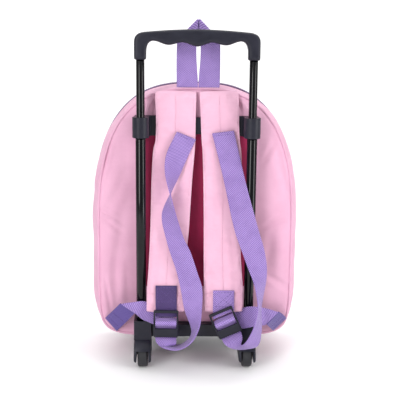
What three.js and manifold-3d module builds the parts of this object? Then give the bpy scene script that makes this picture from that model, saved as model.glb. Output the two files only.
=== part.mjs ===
// A child's wheeled backpack: a soft pink bag with two padded shoulder straps, on a black frame
// with a telescoping handle and two wheels. Millimetres, +Z up, +Y towards the bag's front.
// The back panel's outer face is y = 0 and the floor z = 0 while it is built. The last lines move
// the whole, so that the origin is the middle of the underside of its box.

import * as THREE from 'three';
import { mergeVertices } from 'three/addons/utils/BufferGeometryUtils.js';
import Module from 'manifold-3d';

const wasm = await Module();
wasm.setup();

// Clearances
const gap = 0.3; // between pieces that touch, or are sewn or glued together
const rodGap = 0.4; // all round a rod in its tube
const wheelGap = 1.4; // all round a wheel in its housing

// The bag
const bagWidth = 259;
const bagHeight = 316;
const bagBottom = 28; // of the bag's underside above the floor
const widestRise = 122; // of the widest place above the underside
const upperFullness = 2.7; // superellipse power above the widest place
const lowerFullness = 6; // and below it
const gussetDepth = 90;
const frontDome = 14;
const frontTaper = 3; // how much the front's outline is smaller at the top
const seamInset = 3; // of both seams inside the fullest outline
const sideSwell = 7; // more of it at the sides
const clothThickness = 1.8;
const backPad = 4;
const pipingWidth = 3.2;
const zipThickness = 1.4;
const zipPullLength = 22;
const zipPullWidth = 7;
const zipInsetSteps = 3; // of each zip end from the bag's widest place, in steps of its outline

// The frame and handle
const tubeSpread = 131; // between the two tube axes
const frameOut = 21.2; // of the tube axes off the back panel
const tubeDiameter = 12;
const tubeWall = 0.7;
const rodLength = 282;
const collarDrop = 35.5; // of the collars' top below the bag's top
const collarHeight = 24;
const collarWall = 3.7;
const collarLid = 3.5;
const crossbarThickness = 4;
const crossbarInset = 2;
const bracketReach = 17.5; // from a tube axis inwards
const gripRise = 101; // of the grip's top over the collars, as in the photograph
const gripWidth = 145;
const gripHeight = 35;
const gripThickness = 18;
const gripMiddle = 17.7; // the bar's mean height at its middle
const gripCrown = 3.4; // of the bar's middle over its shoulders
const gripCorner = 11; // radius of the outer corners
const gripShoulder = 8; // radius of the inner corners
const gripSleeve = 14;
const gripSocket = 18;
const gripEdge = 3;
const fingerPitch = 33.4;
const fingerDepth = 2;
const fingerRise = 1.6; // of each bump towards the ends over the one before

// The wheels and what they stand in
const wheelRadius = 17;
const wheelWidth = 12;
const wheelInset = 1.5; // of a wheel's middle inside the tube axis
const wheelChamfer = 1.4;
const wheelDish = 1.5; // of the web below the rim's face
const wheelRim = 3; // of the rim's ring
const hubWall = 3;
const axleDiameter = 4;
const legWidth = 21;
const legWall = 2.4;
const legLift = 12; // of the cheeks over the floor
const archLift = 25; // of the housing's rear edge over the floor
const legEdge = 2; // bevel of the housing's edges
const blockTop = 60;
const blockWall = 1.4; // in front of the tube
const baseBarBottom = 34;
const baseBarHeight = 16;
const baseBarDepth = 12;
const basePlateThickness = 3.2;
const basePlateMargin = 7; // of the plate outside its tongues
const basePlateStart = 18; // of the plate's rear edge in front of the back panel
const basePlateEnd = 88;
const baseTongueWidth = 16;
const footWidth = 15;
const footInset = 1.5; // of a foot's outer face inside the plate's end

// The straps and their webbing
const strapThickness = 5;
const strapEase = 1.6;
const webbingWidth = 25.4;
const webbingThickness = 1.4;
const tabThickness = 1.5;
const tabHeight = 29; // above the buckle
const tabWidth = 25.6;
const tailSwing = 26; // how far the loosest part of a tail stands off its strap
const loopRise = 78; // of the carry loop's peak over the bag's top seam
const loopShoulder = 53;
const loopThickness = 1.6;
const loopWedge = 2.8; // half the widest gap between its strands
const loopShift = 1.9; // of the loop to the right of the bag's middle

// The ladder-lock buckles
const buckleWidth = 30;
const buckleHeight = 34;
const buckleThickness = 3.5;
const buckleRail = 2;
const buckleTopBar = 3.5;
const buckleUpperSlot = 11;
const buckleMiddleBar = 2.6;
const buckleLowerSlot = 6;
const buckleCorner = 1; // cut off the top corners
const buckleFoot = 3; // cut off the bottom corners
const buckleHook = 1; // of the top bar above the strap's end

// Facets
const outlineSteps = 56;
const roundSteps = 20;
const wheelSteps = 24;
const gripTopSteps = 10;
const gripUnderSteps = 24;

// Places worked out from the sizes
const halfWidth = bagWidth / 2;
const bagTop = bagBottom + bagHeight;
const widestHeight = bagBottom + widestRise;
const tubeX = tubeSpread / 2;
const tubeFront = frameOut + tubeDiameter / 2;
const collarTop = bagTop - collarDrop;
const collarBottom = collarTop - collarHeight;
const collarRadius = tubeDiameter / 2 + collarWall;
const rodDiameter = tubeDiameter - 2 * tubeWall - 2 * rodGap;
const gripTop = collarTop + gripRise;
const sleeveBottom = gripTop - gripHeight;
const rodTop = sleeveBottom + gripSocket - gap;
const wheelX = tubeX - wheelInset;
const housingRadius = wheelRadius + wheelGap + legWall;
const socketBottom = 2 * wheelRadius + wheelGap + legWall;
const panelLevel = gap + strapThickness / 2;
const barLevel = panelLevel + gap + crossbarThickness;
const endLevel = tubeFront + 2 * (gap + webbingThickness) + strapEase + strapThickness / 2;
const pipingRadius = pipingWidth / 2;
const gussetBack = pipingWidth + gap;
const gussetFront = gussetBack + gussetDepth;

// Each row is a place down a shoulder strap: its height as a share of the bag's height, its two
// edges as shares of the way to a tube's axis, whether it lies over the crossbar, and how far it has
// left the panel, as a share of the way to its lower end
const strapRows = {
  left: [
    { up: 0.982, outer: -0.746, inner: 0.004, overBar: 0, lift: 0 },
    { up: 0.956, outer: -0.76, inner: 0.004, overBar: 0.4, lift: 0 },
    { up: 0.9, outer: -0.741, inner: -0.004, overBar: 1, lift: 0 },
    { up: 0.802, outer: -0.746, inner: -0.008, overBar: 1, lift: 0.02 },
    { up: 0.757, outer: -0.791, inner: -0.019, overBar: 1, lift: 0.1 },
    { up: 0.659, outer: -0.818, inner: -0.058, overBar: 1, lift: 0.2 },
    { up: 0.561, outer: -0.83, inner: -0.087, overBar: 1, lift: 0.31 },
    { up: 0.462, outer: -0.841, inner: -0.116, overBar: 1, lift: 0.43 },
    { up: 0.374, outer: -0.857, inner: -0.155, overBar: 1, lift: 0.58 },
    { up: 0.295, outer: -0.876, inner: -0.171, overBar: 1, lift: 0.78 },
    { up: 0.246, outer: -0.892, inner: -0.175, overBar: 1, lift: 0.9 },
    { up: 0.146, outer: -0.907, inner: -0.19, overBar: 1, lift: 1 },
  ],
  right: [
    { up: 0.982, outer: 0.76, inner: 0.039, overBar: 0, lift: 0 },
    { up: 0.956, outer: 0.772, inner: 0.05, overBar: 0.4, lift: 0 },
    { up: 0.9, outer: 0.779, inner: 0.066, overBar: 1, lift: 0 },
    { up: 0.802, outer: 0.799, inner: 0.087, overBar: 1, lift: 0.02 },
    { up: 0.757, outer: 0.83, inner: 0.107, overBar: 1, lift: 0.1 },
    { up: 0.659, outer: 0.849, inner: 0.124, overBar: 1, lift: 0.2 },
    { up: 0.561, outer: 0.857, inner: 0.134, overBar: 1, lift: 0.31 },
    { up: 0.462, outer: 0.849, inner: 0.14, overBar: 1, lift: 0.43 },
    { up: 0.374, outer: 0.841, inner: 0.142, overBar: 1, lift: 0.58 },
    { up: 0.295, outer: 0.865, inner: 0.145, overBar: 1, lift: 0.78 },
    { up: 0.246, outer: 0.88, inner: 0.149, overBar: 1, lift: 0.9 },
    { up: 0.146, outer: 0.876, inner: 0.163, overBar: 1, lift: 1 },
  ],
};

// Where each buckle hangs: its top bar's middle across the bag, as a share of the way to a tube's
// axis, and how far it leans in degrees. Its tab hangs upright behind it, moved to the side by a
// share of the tab's width, and its top down by a share of its height
const buckleHang = {
  left: { across: -0.535, lean: 1, tabAside: 0, tabDown: 0 },
  right: { across: 0.45, lean: -24, tabAside: 0.18, tabDown: 0.2 },
};

// Each row is a cut across a webbing: where its two edges a and b lie, across as a share of the
// way to a tube's axis, or of the bag's half width in a corner tab, up as a share of the bag's
// height, and off as a share of the tail's swing. In a corner tab and in the stretch that runs to
// the buckle, off starts at the tube's front
const tabRows = {
  left: [
    { aAcross: -0.863, aUp: 0.084, aOff: -1, bAcross: -0.752, bUp: 0.029, bOff: -1 },
    { aAcross: -0.785, aUp: 0.125, aOff: -0.6, bAcross: -0.647, bUp: 0.086, bOff: -0.45 },
    { aAcross: -0.706, aUp: 0.167, aOff: -0.22, bAcross: -0.561, bUp: 0.135, bOff: -0.03 },
  ],
  right: [
    { aAcross: 0.892, aUp: 0.084, aOff: -1, bAcross: 0.765, bUp: 0.031, bOff: -1 },
    { aAcross: 0.845, aUp: 0.112, aOff: -0.6, bAcross: 0.716, bUp: 0.064, bOff: -0.4 },
    { aAcross: 0.796, aUp: 0.135, aOff: -0.2, bAcross: 0.675, bUp: 0.09, bOff: 0.03 },
  ],
};
const feedRows = {
  left: [
    { aAcross: -0.969, aUp: 0.11, aOff: 0.075, bAcross: -1.163, bUp: 0.179, bOff: 0.03 },
    { aAcross: -0.838, aUp: 0.098, aOff: 0.08, bAcross: -0.915, bUp: 0.182, bOff: 0.03 },
    { aAcross: -0.776, aUp: 0.094, aOff: 0.14, bAcross: -0.659, bUp: 0.141, bOff: 0.04 },
  ],
  right: [
    { aAcross: 1.163, aUp: 0.086, aOff: 0.085, bAcross: 1.28, bUp: 0.157, bOff: 0.03 },
    { aAcross: 0.989, aUp: 0.078, aOff: 0.1, bAcross: 0.989, bUp: 0.162, bOff: 0.03 },
    { aAcross: 0.876, aUp: 0.078, aOff: 0.15, bAcross: 0.679, bUp: 0.141, bOff: 0.04 },
  ],
};
// Where the webbing starts, as shares of the way from the corner tab's end to its first row
const foldShare = { a: 0.15, b: 0.05 };
// In a tail, off starts at the strap's front
const tailRows = {
  left: [
    { aAcross: -0.71, aUp: 0.035, aOff: 0.27, bAcross: -0.349, bUp: 0.027, bOff: 0.2 },
    { aAcross: -0.601, aUp: 0.023, aOff: 0.5, bAcross: -0.417, bUp: 0.013, bOff: 0.02 },
    { aAcross: -0.349, aUp: 0.016, aOff: 0.62, bAcross: -0.363, bUp: 0.008, bOff: -0.26 },
    { aAcross: -0.194, aUp: 0.028, aOff: 0.66, bAcross: -0.24, bUp: 0.013, bOff: -0.26 },
    { aAcross: -0.048, aUp: 0.054, aOff: 0.66, bAcross: -0.103, bUp: 0.038, bOff: -0.24 },
    { aAcross: 0.074, aUp: 0.107, aOff: 0.58, bAcross: -0.066, bUp: 0.074, bOff: -0.1 },
    { aAcross: 0.12, aUp: 0.171, aOff: 0.34, bAcross: -0.202, bUp: 0.165, bOff: 0.17 },
    { aAcross: 0.12, aUp: 0.249, aOff: 0.22, bAcross: -0.275, bUp: 0.247, bOff: 0.16 },
    { aAcross: 0.035, aUp: 0.305, aOff: 0.22, bAcross: -0.359, bUp: 0.315, bOff: 0.16 },
    { aAcross: -0.101, aUp: 0.385, aOff: 0.2, bAcross: -0.477, bUp: 0.383, bOff: 0.15 },
    { aAcross: -0.206, aUp: 0.43, aOff: 0.28, bAcross: -0.537, bUp: 0.426, bOff: 0.13 },
    { aAcross: -0.333, aUp: 0.51, aOff: 0.56, bAcross: -0.62, bUp: 0.521, bOff: 0.15 },
    { aAcross: -0.458, aUp: 0.607, aOff: 1, bAcross: -0.469, bUp: 0.598, bOff: 0.13 },
    { aAcross: -0.562, aUp: 0.688, aOff: 0.62, bAcross: -0.289, bUp: 0.673, bOff: 0.1 },
    { aAcross: -0.539, aUp: 0.749, aOff: 0.16, bAcross: -0.213, bUp: 0.709, bOff: 0.08 },
    { aAcross: -0.351, aUp: 0.831, aOff: 0.01, bAcross: -0.006, bUp: 0.802, bOff: 0.01 },
  ],
  right: [
    { aAcross: 0.871, aUp: 0.053, aOff: 0.3, bAcross: 0.551, bUp: 0.027, bOff: 0.26 },
    { aAcross: 0.845, aUp: 0.031, aOff: 0.42, bAcross: 0.71, bUp: 0.009, bOff: 0.26 },
    { aAcross: 0.884, aUp: 0.039, aOff: 0.62, bAcross: 0.969, bUp: 0.009, bOff: 0.26 },
    { aAcross: 0.96, aUp: 0.065, aOff: 0.74, bAcross: 1.163, bUp: 0.023, bOff: 0.26 },
    { aAcross: 1.061, aUp: 0.114, aOff: 0.77, bAcross: 1.229, bUp: 0.086, bOff: 0.08 },
    { aAcross: 1.125, aUp: 0.186, aOff: 0.76, bAcross: 1.218, bUp: 0.162, bOff: -0.03 },
    { aAcross: 1.099, aUp: 0.234, aOff: 0.8, bAcross: 1.253, bUp: 0.218, bOff: -0.02 },
    { aAcross: 1.051, aUp: 0.277, aOff: 0.66, bAcross: 1.299, bUp: 0.269, bOff: 0 },
    { aAcross: 0.938, aUp: 0.333, aOff: 0.36, bAcross: 1.309, bUp: 0.32, bOff: 0.08 },
    { aAcross: 0.834, aUp: 0.39, aOff: 0.25, bAcross: 1.256, bUp: 0.39, bOff: 0.26 },
    { aAcross: 0.71, aUp: 0.461, aOff: 0.22, bAcross: 1.148, bUp: 0.464, bOff: 0.37 },
    { aAcross: 0.529, aUp: 0.626, aOff: 0.16, bAcross: 0.915, bUp: 0.631, bOff: 0.4 },
    { aAcross: 0.419, aUp: 0.72, aOff: 0.1, bAcross: 0.814, bUp: 0.721, bOff: 0.12 },
    { aAcross: 0.283, aUp: 0.825, aOff: 0.01, bAcross: 0.679, bUp: 0.836, bOff: 0.01 },
  ],
};

// The main dents of the bag's side: where round the outline, how far to the front, how deep, and
// how far each reaches round and to the front
const gussetDents = [
  { turn: 0.427, along: 0.2, depth: 0.9, round: 0.022, wide: 0.22 },
  { turn: 0.47, along: 0.3, depth: 0.6, round: 0.018, wide: 0.3 },
  { turn: 0.56, along: 0.35, depth: 0.8, round: 0.02, wide: 0.25 },
  { turn: 0.07, along: 0.3, depth: 0.7, round: 0.02, wide: 0.3 },
  { turn: 0.94, along: 0.4, depth: 0.8, round: 0.02, wide: 0.25 },
];
const gussetStations = [0, 0.08, 0.22, 0.4, 0.62, 0.85, 1];
const zipStations = [0.62, 0.85];
const domeRings = [1, 0.93, 0.78, 0.52, 0.22];

// Materials
const colours = {
  pinkCloth: [0xf3cfe0, 0.9, 0],
  sideCloth: [0xe6bcd2, 0.9, 0],
  burgundyCloth: [0xb65f86, 0.9, 0],
  webbing: [0x9a7bcb, 0.85, 0],
  darkWebbing: [0x6a4a9a, 0.85, 0],
  zip: [0x8c6cc4, 0.8, 0],
  satinPlastic: [0x2b2b30, 0.45, 0],
  glossTube: [0x121214, 0.15, 0.3],
  wheelPlastic: [0x1c1c1e, 0.6, 0],
  axleSteel: [0x9a9a9e, 0.35, 0.9],
};

function material(name) {
  const [color, roughness, metalness] = colours[name];
  return new THREE.MeshStandardMaterial({ color, roughness, metalness });
}

// Meshes and solids

function welded(geometry) {
  geometry.deleteAttribute('normal');
  geometry.deleteAttribute('uv');
  const merged = mergeVertices(geometry, 1e-4);
  const index = merged.getIndex().array;
  const kept = [];
  for (let i = 0; i < index.length; i += 3) {
    const [a, b, c] = [index[i], index[i + 1], index[i + 2]];
    if (a !== b && b !== c && c !== a) {
      kept.push(a, b, c);
    }
  }
  merged.setIndex(kept);
  return merged;
}

function volumeOf(geometry) {
  const place = geometry.getAttribute('position');
  const index = geometry.getIndex().array;
  const corner = [new THREE.Vector3(), new THREE.Vector3(), new THREE.Vector3()];
  let sum = 0;
  for (let i = 0; i < index.length; i += 3) {
    corner.forEach((point, k) => point.fromBufferAttribute(place, index[i + k]));
    sum += corner[0].dot(corner[1].cross(corner[2])) / 6;
  }
  return sum;
}

function facingOut(geometry) {
  if (volumeOf(geometry) < 0) {
    const index = geometry.getIndex().array;
    for (let i = 0; i < index.length; i += 3) {
      [index[i], index[i + 1]] = [index[i + 1], index[i]];
    }
  }
  return geometry;
}

function toSolid(geometry) {
  const mesh = facingOut(welded(geometry));
  return new wasm.Manifold(new wasm.Mesh({
    numProp: 3,
    vertProperties: new Float32Array(mesh.getAttribute('position').array),
    triVerts: new Uint32Array(mesh.getIndex().array),
  }));
}

function toGeometry(solid) {
  const mesh = solid.getMesh();
  const geometry = new THREE.BufferGeometry();
  geometry.setAttribute('position', new THREE.BufferAttribute(mesh.vertProperties, 3));
  geometry.setIndex(new THREE.BufferAttribute(mesh.triVerts, 1));
  return geometry;
}

// A skin over rings of equally many points. It closes on itself, or has a flat cap at each end
function skin(rings, closed) {
  const count = rings[0].length;
  const points = rings.flat();
  const index = [];
  const spans = closed ? rings.length : rings.length - 1;
  for (let i = 0; i < spans; i += 1) {
    const here = i * count;
    const next = ((i + 1) % rings.length) * count;
    for (let j = 0; j < count; j += 1) {
      const k = (j + 1) % count;
      index.push(here + j, here + k, next + k, here + j, next + k, next + j);
    }
  }
  if (!closed) {
    [[rings[0], 0, false], [rings.at(-1), (rings.length - 1) * count, true]].forEach((end) => {
      const [ring, start, flip] = end;
      const middle = new THREE.Vector3();
      ring.forEach((point) => middle.addScaledVector(point, 1 / count));
      points.push(middle);
      const centre = points.length - 1;
      for (let j = 0; j < count; j += 1) {
        const k = (j + 1) % count;
        index.push(centre, start + (flip ? j : k), start + (flip ? k : j));
      }
    });
  }
  const geometry = new THREE.BufferGeometry().setFromPoints(points);
  geometry.setIndex(index);
  return facingOut(geometry);
}

function box(x0, x1, y0, y1, z0, z1) {
  const geometry = new THREE.BoxGeometry(x1 - x0, y1 - y0, z1 - z0);
  geometry.translate((x0 + x1) / 2, (y0 + y1) / 2, (z0 + z1) / 2);
  return geometry;
}

function post(radius, z0, z1, x, y) {
  const geometry = new THREE.CylinderGeometry(radius, radius, z1 - z0, roundSteps);
  geometry.rotateX(Math.PI / 2);
  geometry.translate(x, y, (z0 + z1) / 2);
  return geometry;
}

function pin(radius, length, x, y, z, steps = roundSteps) {
  const geometry = new THREE.CylinderGeometry(radius, radius, length, steps);
  geometry.rotateY(Math.PI / steps);
  geometry.rotateZ(Math.PI / 2);
  geometry.translate(x, y, z);
  return geometry;
}

// A flat shape given in x and z, with its depth along +Y from y
function plate(shape, y, depth, edge = 0) {
  const geometry = new THREE.ExtrudeGeometry(shape, {
    depth: depth - 2 * edge,
    bevelEnabled: edge > 0,
    bevelThickness: edge,
    bevelSize: edge,
    bevelOffset: -edge,
    bevelSegments: 2,
    curveSegments: 6,
  });
  geometry.rotateX(Math.PI / 2);
  geometry.translate(0, y + depth - edge, 0);
  return geometry;
}

// The bag's outline

function signedPower(value, power) {
  return Math.sign(value) * Math.abs(value) ** power;
}

function outlineAt(turn) {
  const angle = turn * 2 * Math.PI;
  const upper = Math.sin(angle) >= 0;
  const rise = upper ? bagTop - widestHeight : widestRise;
  const power = upper ? upperFullness : lowerFullness;
  const x = halfWidth * signedPower(Math.cos(angle), 2 / power);
  const z = rise * signedPower(Math.sin(angle), 2 / power);
  const normal = new THREE.Vector2(
    signedPower(x / halfWidth, power - 1) / halfWidth,
    signedPower(z / rise, power - 1) / rise,
  ).normalize();
  return { x, z: z + widestHeight, normal };
}

function seamAt(normal) {
  return seamInset + sideSwell * (1 - Math.abs(normal.y));
}

function taperAt(normal, along) {
  return frontTaper * along ** 1.6 * 0.25 * (1 + normal.y) ** 2;
}

function dentAt(turn, along) {
  let depth = 0;
  gussetDents.forEach((dent) => {
    const away = ((turn - dent.turn) / dent.round) ** 2 + ((along - dent.along) / dent.wide) ** 2;
    depth += dent.depth * clothThickness * Math.exp(-away);
  });
  return depth;
}

function gussetInset(turn, normal, along) {
  const swell = Math.sin(Math.PI * along) ** 0.8;
  return seamAt(normal) * (1 - swell) + taperAt(normal, along) + dentAt(turn, along) * swell;
}

function outlineRing(y, insetAt) {
  const ring = [];
  for (let i = 0; i < outlineSteps; i += 1) {
    const turn = i / outlineSteps;
    const { x, z, normal } = outlineAt(turn);
    const inset = insetAt(turn, normal);
    ring.push(new THREE.Vector3(x - normal.x * inset, y, z - normal.y * inset));
  }
  return ring;
}

function gusset() {
  const outer = gussetStations.map((along) => outlineRing(
    gussetBack + along * gussetDepth,
    (turn, normal) => gussetInset(turn, normal, along),
  ));
  const inner = gussetStations.map((along) => outlineRing(
    gussetBack + along * gussetDepth,
    (turn, normal) => gussetInset(turn, normal, along) + clothThickness,
  ));
  return skin([...outer, ...inner.reverse()], true);
}

function panelEdge(normal, along) {
  return seamAt(normal) + taperAt(normal, along) + clothThickness / 2;
}

function piping(y, along) {
  const rings = [];
  for (let k = 0; k < 6; k += 1) {
    const angle = (k * Math.PI) / 3;
    rings.push(outlineRing(
      y + pipingRadius * Math.sin(angle),
      (turn, normal) => panelEdge(normal, along) + pipingRadius * Math.cos(angle),
    ));
  }
  return skin(rings, true);
}

function backPanel() {
  const insetAt = (turn, normal) => panelEdge(normal, 0) + pipingRadius + gap;
  return skin([outlineRing(0, insetAt), outlineRing(backPad, insetAt)], false);
}

function frontPanel() {
  const rim = outlineRing(0, (turn, normal) => panelEdge(normal, 1) + pipingRadius + gap);
  const start = gussetFront + gap;
  const ringAt = (share, inside) => rim.map((point) => new THREE.Vector3(
    point.x * share,
    start + clothThickness + frontDome * (1 - share ** 3) - inside,
    widestHeight + (point.z - widestHeight) * share,
  ));
  const outer = domeRings.map((share) => ringAt(share, 0)).reverse();
  const inner = domeRings.map((share) => ringAt(share, clothThickness));
  return skin([...outer, ...inner], false);
}

// The zip runs over the arch, between two stations of the gusset
const zipEnd = outlineSteps / 2 - zipInsetSteps;
const zipSeat = 1.5 * gap;

function zipPoint(step, along, off) {
  const turn = step / outlineSteps;
  const { x, z, normal } = outlineAt(turn);
  const inset = gussetInset(turn, normal, along) - off;
  return new THREE.Vector3(
    x - normal.x * inset,
    gussetBack + along * gussetDepth,
    z - normal.y * inset,
  );
}

function zipTape() {
  const sections = [];
  for (let step = zipInsetSteps; step <= zipEnd; step += 1) {
    sections.push([
      zipPoint(step, zipStations[0], zipSeat),
      zipPoint(step, zipStations[0], zipSeat + zipThickness),
      zipPoint(step, zipStations[1], zipSeat + zipThickness),
      zipPoint(step, zipStations[1], zipSeat),
    ]);
  }
  return skin(sections, false);
}

// The slider stands at the zip's right end, flat on the tape
function zipSlider() {
  const [rear, front] = zipStations.map((along) => zipPoint(zipInsetSteps, along, 0));
  const [upperRear, upperFront] = zipStations.map((along) => zipPoint(zipInsetSteps + 1, along, 0));
  const foot = rear.clone().lerp(front, 0.5);
  const up = upperRear.lerp(upperFront, 0.5).sub(foot).normalize();
  const across = front.clone().sub(rear);
  const out = new THREE.Vector3().crossVectors(across, up).normalize();
  const shape = new THREE.Shape();
  const half = zipPullWidth / 2;
  shape.moveTo(-half, half);
  shape.lineTo(-half, zipPullLength - half);
  shape.absarc(0, zipPullLength - half, half, Math.PI, 0, true);
  shape.lineTo(half, half);
  shape.absarc(0, half, half, 0, -Math.PI, true);
  const geometry = new THREE.ExtrudeGeometry(shape, {
    depth: 2 * zipThickness,
    bevelEnabled: false,
    curveSegments: 6,
  });
  const sideways = new THREE.Vector3().crossVectors(up, out);
  geometry.applyMatrix4(new THREE.Matrix4().makeBasis(sideways, up, out));
  const seat = foot.addScaledVector(out, zipSeat + zipThickness + gap);
  geometry.translate(seat.x, seat.y, seat.z);
  return facingOut(welded(geometry));
}

// The frame

function upperBracket() {
  const parts = [];
  const y = -frameOut;
  const barFront = -gap - crossbarThickness;
  parts.push(toSolid(box(
    -(tubeX - bracketReach + gap), tubeX - bracketReach + gap,
    barFront, -gap,
    collarBottom + crossbarInset, collarTop - crossbarInset,
  )));
  [-1, 1].forEach((side) => {
    const plan = new THREE.Shape();
    plan.moveTo(side * (tubeX - bracketReach), -gap);
    plan.lineTo(side * (tubeX - bracketReach), barFront);
    plan.lineTo(side * (tubeX - collarRadius - 1), barFront);
    plan.lineTo(side * (tubeX - collarRadius + 1), y);
    plan.lineTo(side * (tubeX + collarRadius - 1), y);
    plan.lineTo(side * (tubeX + collarRadius - 2), -gap);
    const arm = new THREE.ExtrudeGeometry(plan, { depth: collarHeight, bevelEnabled: false });
    arm.translate(0, 0, collarBottom);
    parts.push(toSolid(arm));
    parts.push(toSolid(post(collarRadius, collarBottom, collarTop, side * tubeX, y)));
  });
  let solid = parts.reduce((sum, part) => sum.add(part));
  [-1, 1].forEach((side) => {
    const wide = post(tubeDiameter / 2 + gap, collarBottom - 1, collarTop - collarLid,
      side * tubeX, y);
    const narrow = post(rodDiameter / 2 + rodGap, collarBottom, collarTop + 1, side * tubeX, y);
    solid = solid.subtract(toSolid(wide)).subtract(toSolid(narrow));
  });
  return toGeometry(solid);
}

function tube(side) {
  const top = collarTop - collarLid - gap;
  const bottom = socketBottom + gap;
  const outer = toSolid(post(tubeDiameter / 2, bottom, top, side * tubeX, -frameOut));
  const bore = post(tubeDiameter / 2 - tubeWall, bottom - 1, top + 1, side * tubeX, -frameOut);
  return toGeometry(outer.subtract(toSolid(bore)));
}

function baseBar() {
  const end = wheelX - legWidth / 2 - gap;
  return box(-end, end, -gap - baseBarDepth, -gap, baseBarBottom, baseBarBottom + baseBarHeight);
}

function leg(side) {
  const profile = new THREE.Shape();
  profile.moveTo(-housingRadius, legLift);
  profile.lineTo(-housingRadius, wheelRadius);
  profile.absarc(0, wheelRadius, housingRadius, Math.PI, Math.PI / 2, true);
  profile.lineTo(frameOut - gap, wheelRadius + housingRadius);
  profile.lineTo(frameOut - gap, legLift);
  const body = new THREE.ExtrudeGeometry(profile, {
    depth: legWidth - 2 * legEdge,
    bevelEnabled: true,
    bevelThickness: legEdge,
    bevelSize: legEdge,
    bevelOffset: -legEdge,
    bevelSegments: 2,
    curveSegments: 10,
  });
  body.applyMatrix4(new THREE.Matrix4().makeBasis(
    new THREE.Vector3(0, 1, 0),
    new THREE.Vector3(0, 0, 1),
    new THREE.Vector3(1, 0, 0),
  ));
  body.translate(side * wheelX - legWidth / 2 + legEdge, -frameOut, 0);
  const tubeHole = tubeDiameter / 2 + gap;
  const slotWidth = wheelWidth + 2 * wheelGap;
  const slotHalf = slotWidth / 2;
  const slotRadius = wheelRadius + wheelGap;
  const rim = slotRadius / Math.cos(Math.PI / wheelSteps);
  const block = box(
    side * wheelX - legWidth / 2, side * wheelX + legWidth / 2,
    -frameOut - tubeHole - blockWall, -gap,
    wheelRadius + slotRadius, blockTop,
  );
  const hole = post(tubeHole, socketBottom, blockTop + 1, side * tubeX, -frameOut);
  const slot = pin(rim, slotWidth, side * wheelX, -frameOut, wheelRadius, wheelSteps);
  const mouth = box(
    side * wheelX - slotHalf, side * wheelX + slotHalf,
    -frameOut - housingRadius - 1, -frameOut + slotRadius,
    0, archLift,
  );
  const bore = pin(axleDiameter / 2 + gap, legWidth + 2, side * wheelX, -frameOut, wheelRadius);
  return toGeometry(toSolid(body)
    .add(toSolid(block))
    .subtract(toSolid(hole))
    .subtract(toSolid(slot))
    .subtract(toSolid(mouth))
    .subtract(toSolid(bore)));
}

function wheel(side) {
  const corner = 1 / Math.cos(Math.PI / wheelSteps);
  const rim = wheelRadius * corner;
  const half = wheelWidth / 2;
  const bore = (axleDiameter / 2 + gap) * corner;
  const hub = axleDiameter / 2 + hubWall;
  const web = wheelRadius - wheelRim;
  const halfProfile = [
    [bore, half],
    [hub, half],
    [hub + 1, half - wheelDish],
    [web - 1, half - wheelDish],
    [web, half],
    [rim - wheelChamfer, half],
    [rim, half - wheelChamfer],
  ];
  const profile = [
    ...halfProfile.map(([radius, x]) => new THREE.Vector2(radius, x)),
    ...halfProfile.reverse().map(([radius, x]) => new THREE.Vector2(radius, -x)),
  ];
  profile.push(profile[0].clone());
  const geometry = new THREE.LatheGeometry(profile, wheelSteps, Math.PI / wheelSteps);
  geometry.rotateZ(Math.PI / 2);
  geometry.translate(side * wheelX, -frameOut, wheelRadius);
  return facingOut(welded(geometry));
}

function basePlate() {
  const top = bagBottom - gap;
  const bottom = top - basePlateThickness;
  const end = wheelX + baseTongueWidth / 2 + basePlateMargin;
  const parts = [box(-end, end, basePlateStart, basePlateEnd, bottom, top)];
  [-1, 1].forEach((side) => {
    const tongueX = side * wheelX;
    parts.push(box(tongueX - baseTongueWidth / 2, tongueX + baseTongueWidth / 2, 0,
      basePlateStart + 1, bottom, top));
    const footX = side * (end - footInset - footWidth / 2);
    parts.push(box(footX - footWidth / 2, footX + footWidth / 2, basePlateEnd - footWidth,
      basePlateEnd, 0, bottom + 1));
  });
  return toGeometry(parts.map(toSolid).reduce((sum, part) => sum.add(part)));
}

// The telescoping handle

function gripOutline() {
  const half = gripWidth / 2;
  const shape = new THREE.Shape();
  const topAt = (x) => gripTop - gripCrown * Math.abs(x / (half - gripCorner)) ** 1.8;
  const underAt = (x) => {
    const bumps = (x / fingerPitch) * 2 * Math.PI;
    const rise = (fingerRise * Math.abs(x)) / fingerPitch;
    return gripTop - gripMiddle - fingerDepth * Math.cos(bumps) + rise;
  };
  const inner = half - gripSleeve;
  const shoulder = half - gripCorner;
  const notch = 1.5 * fingerPitch;
  shape.moveTo(-half, sleeveBottom);
  shape.lineTo(-half, topAt(shoulder) - gripCorner);
  shape.quadraticCurveTo(-half, topAt(shoulder) - gripEdge / 2, -shoulder, topAt(shoulder));
  for (let i = 1; i < gripTopSteps; i += 1) {
    const x = shoulder * ((2 * i) / gripTopSteps - 1);
    shape.lineTo(x, topAt(x));
  }
  shape.lineTo(shoulder, topAt(shoulder));
  shape.quadraticCurveTo(half, topAt(shoulder) - gripEdge / 2, half, topAt(shoulder) - gripCorner);
  shape.lineTo(half, sleeveBottom);
  shape.lineTo(inner, sleeveBottom);
  shape.lineTo(inner, sleeveBottom + gripShoulder);
  shape.quadraticCurveTo(inner, underAt(notch), notch, underAt(notch));
  for (let i = 1; i < gripUnderSteps; i += 1) {
    const x = notch * (1 - (2 * i) / gripUnderSteps);
    shape.lineTo(x, underAt(x));
  }
  shape.lineTo(-notch, underAt(notch));
  shape.quadraticCurveTo(-inner, underAt(notch), -inner, sleeveBottom + gripShoulder);
  shape.lineTo(-inner, sleeveBottom);
  return shape;
}

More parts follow.
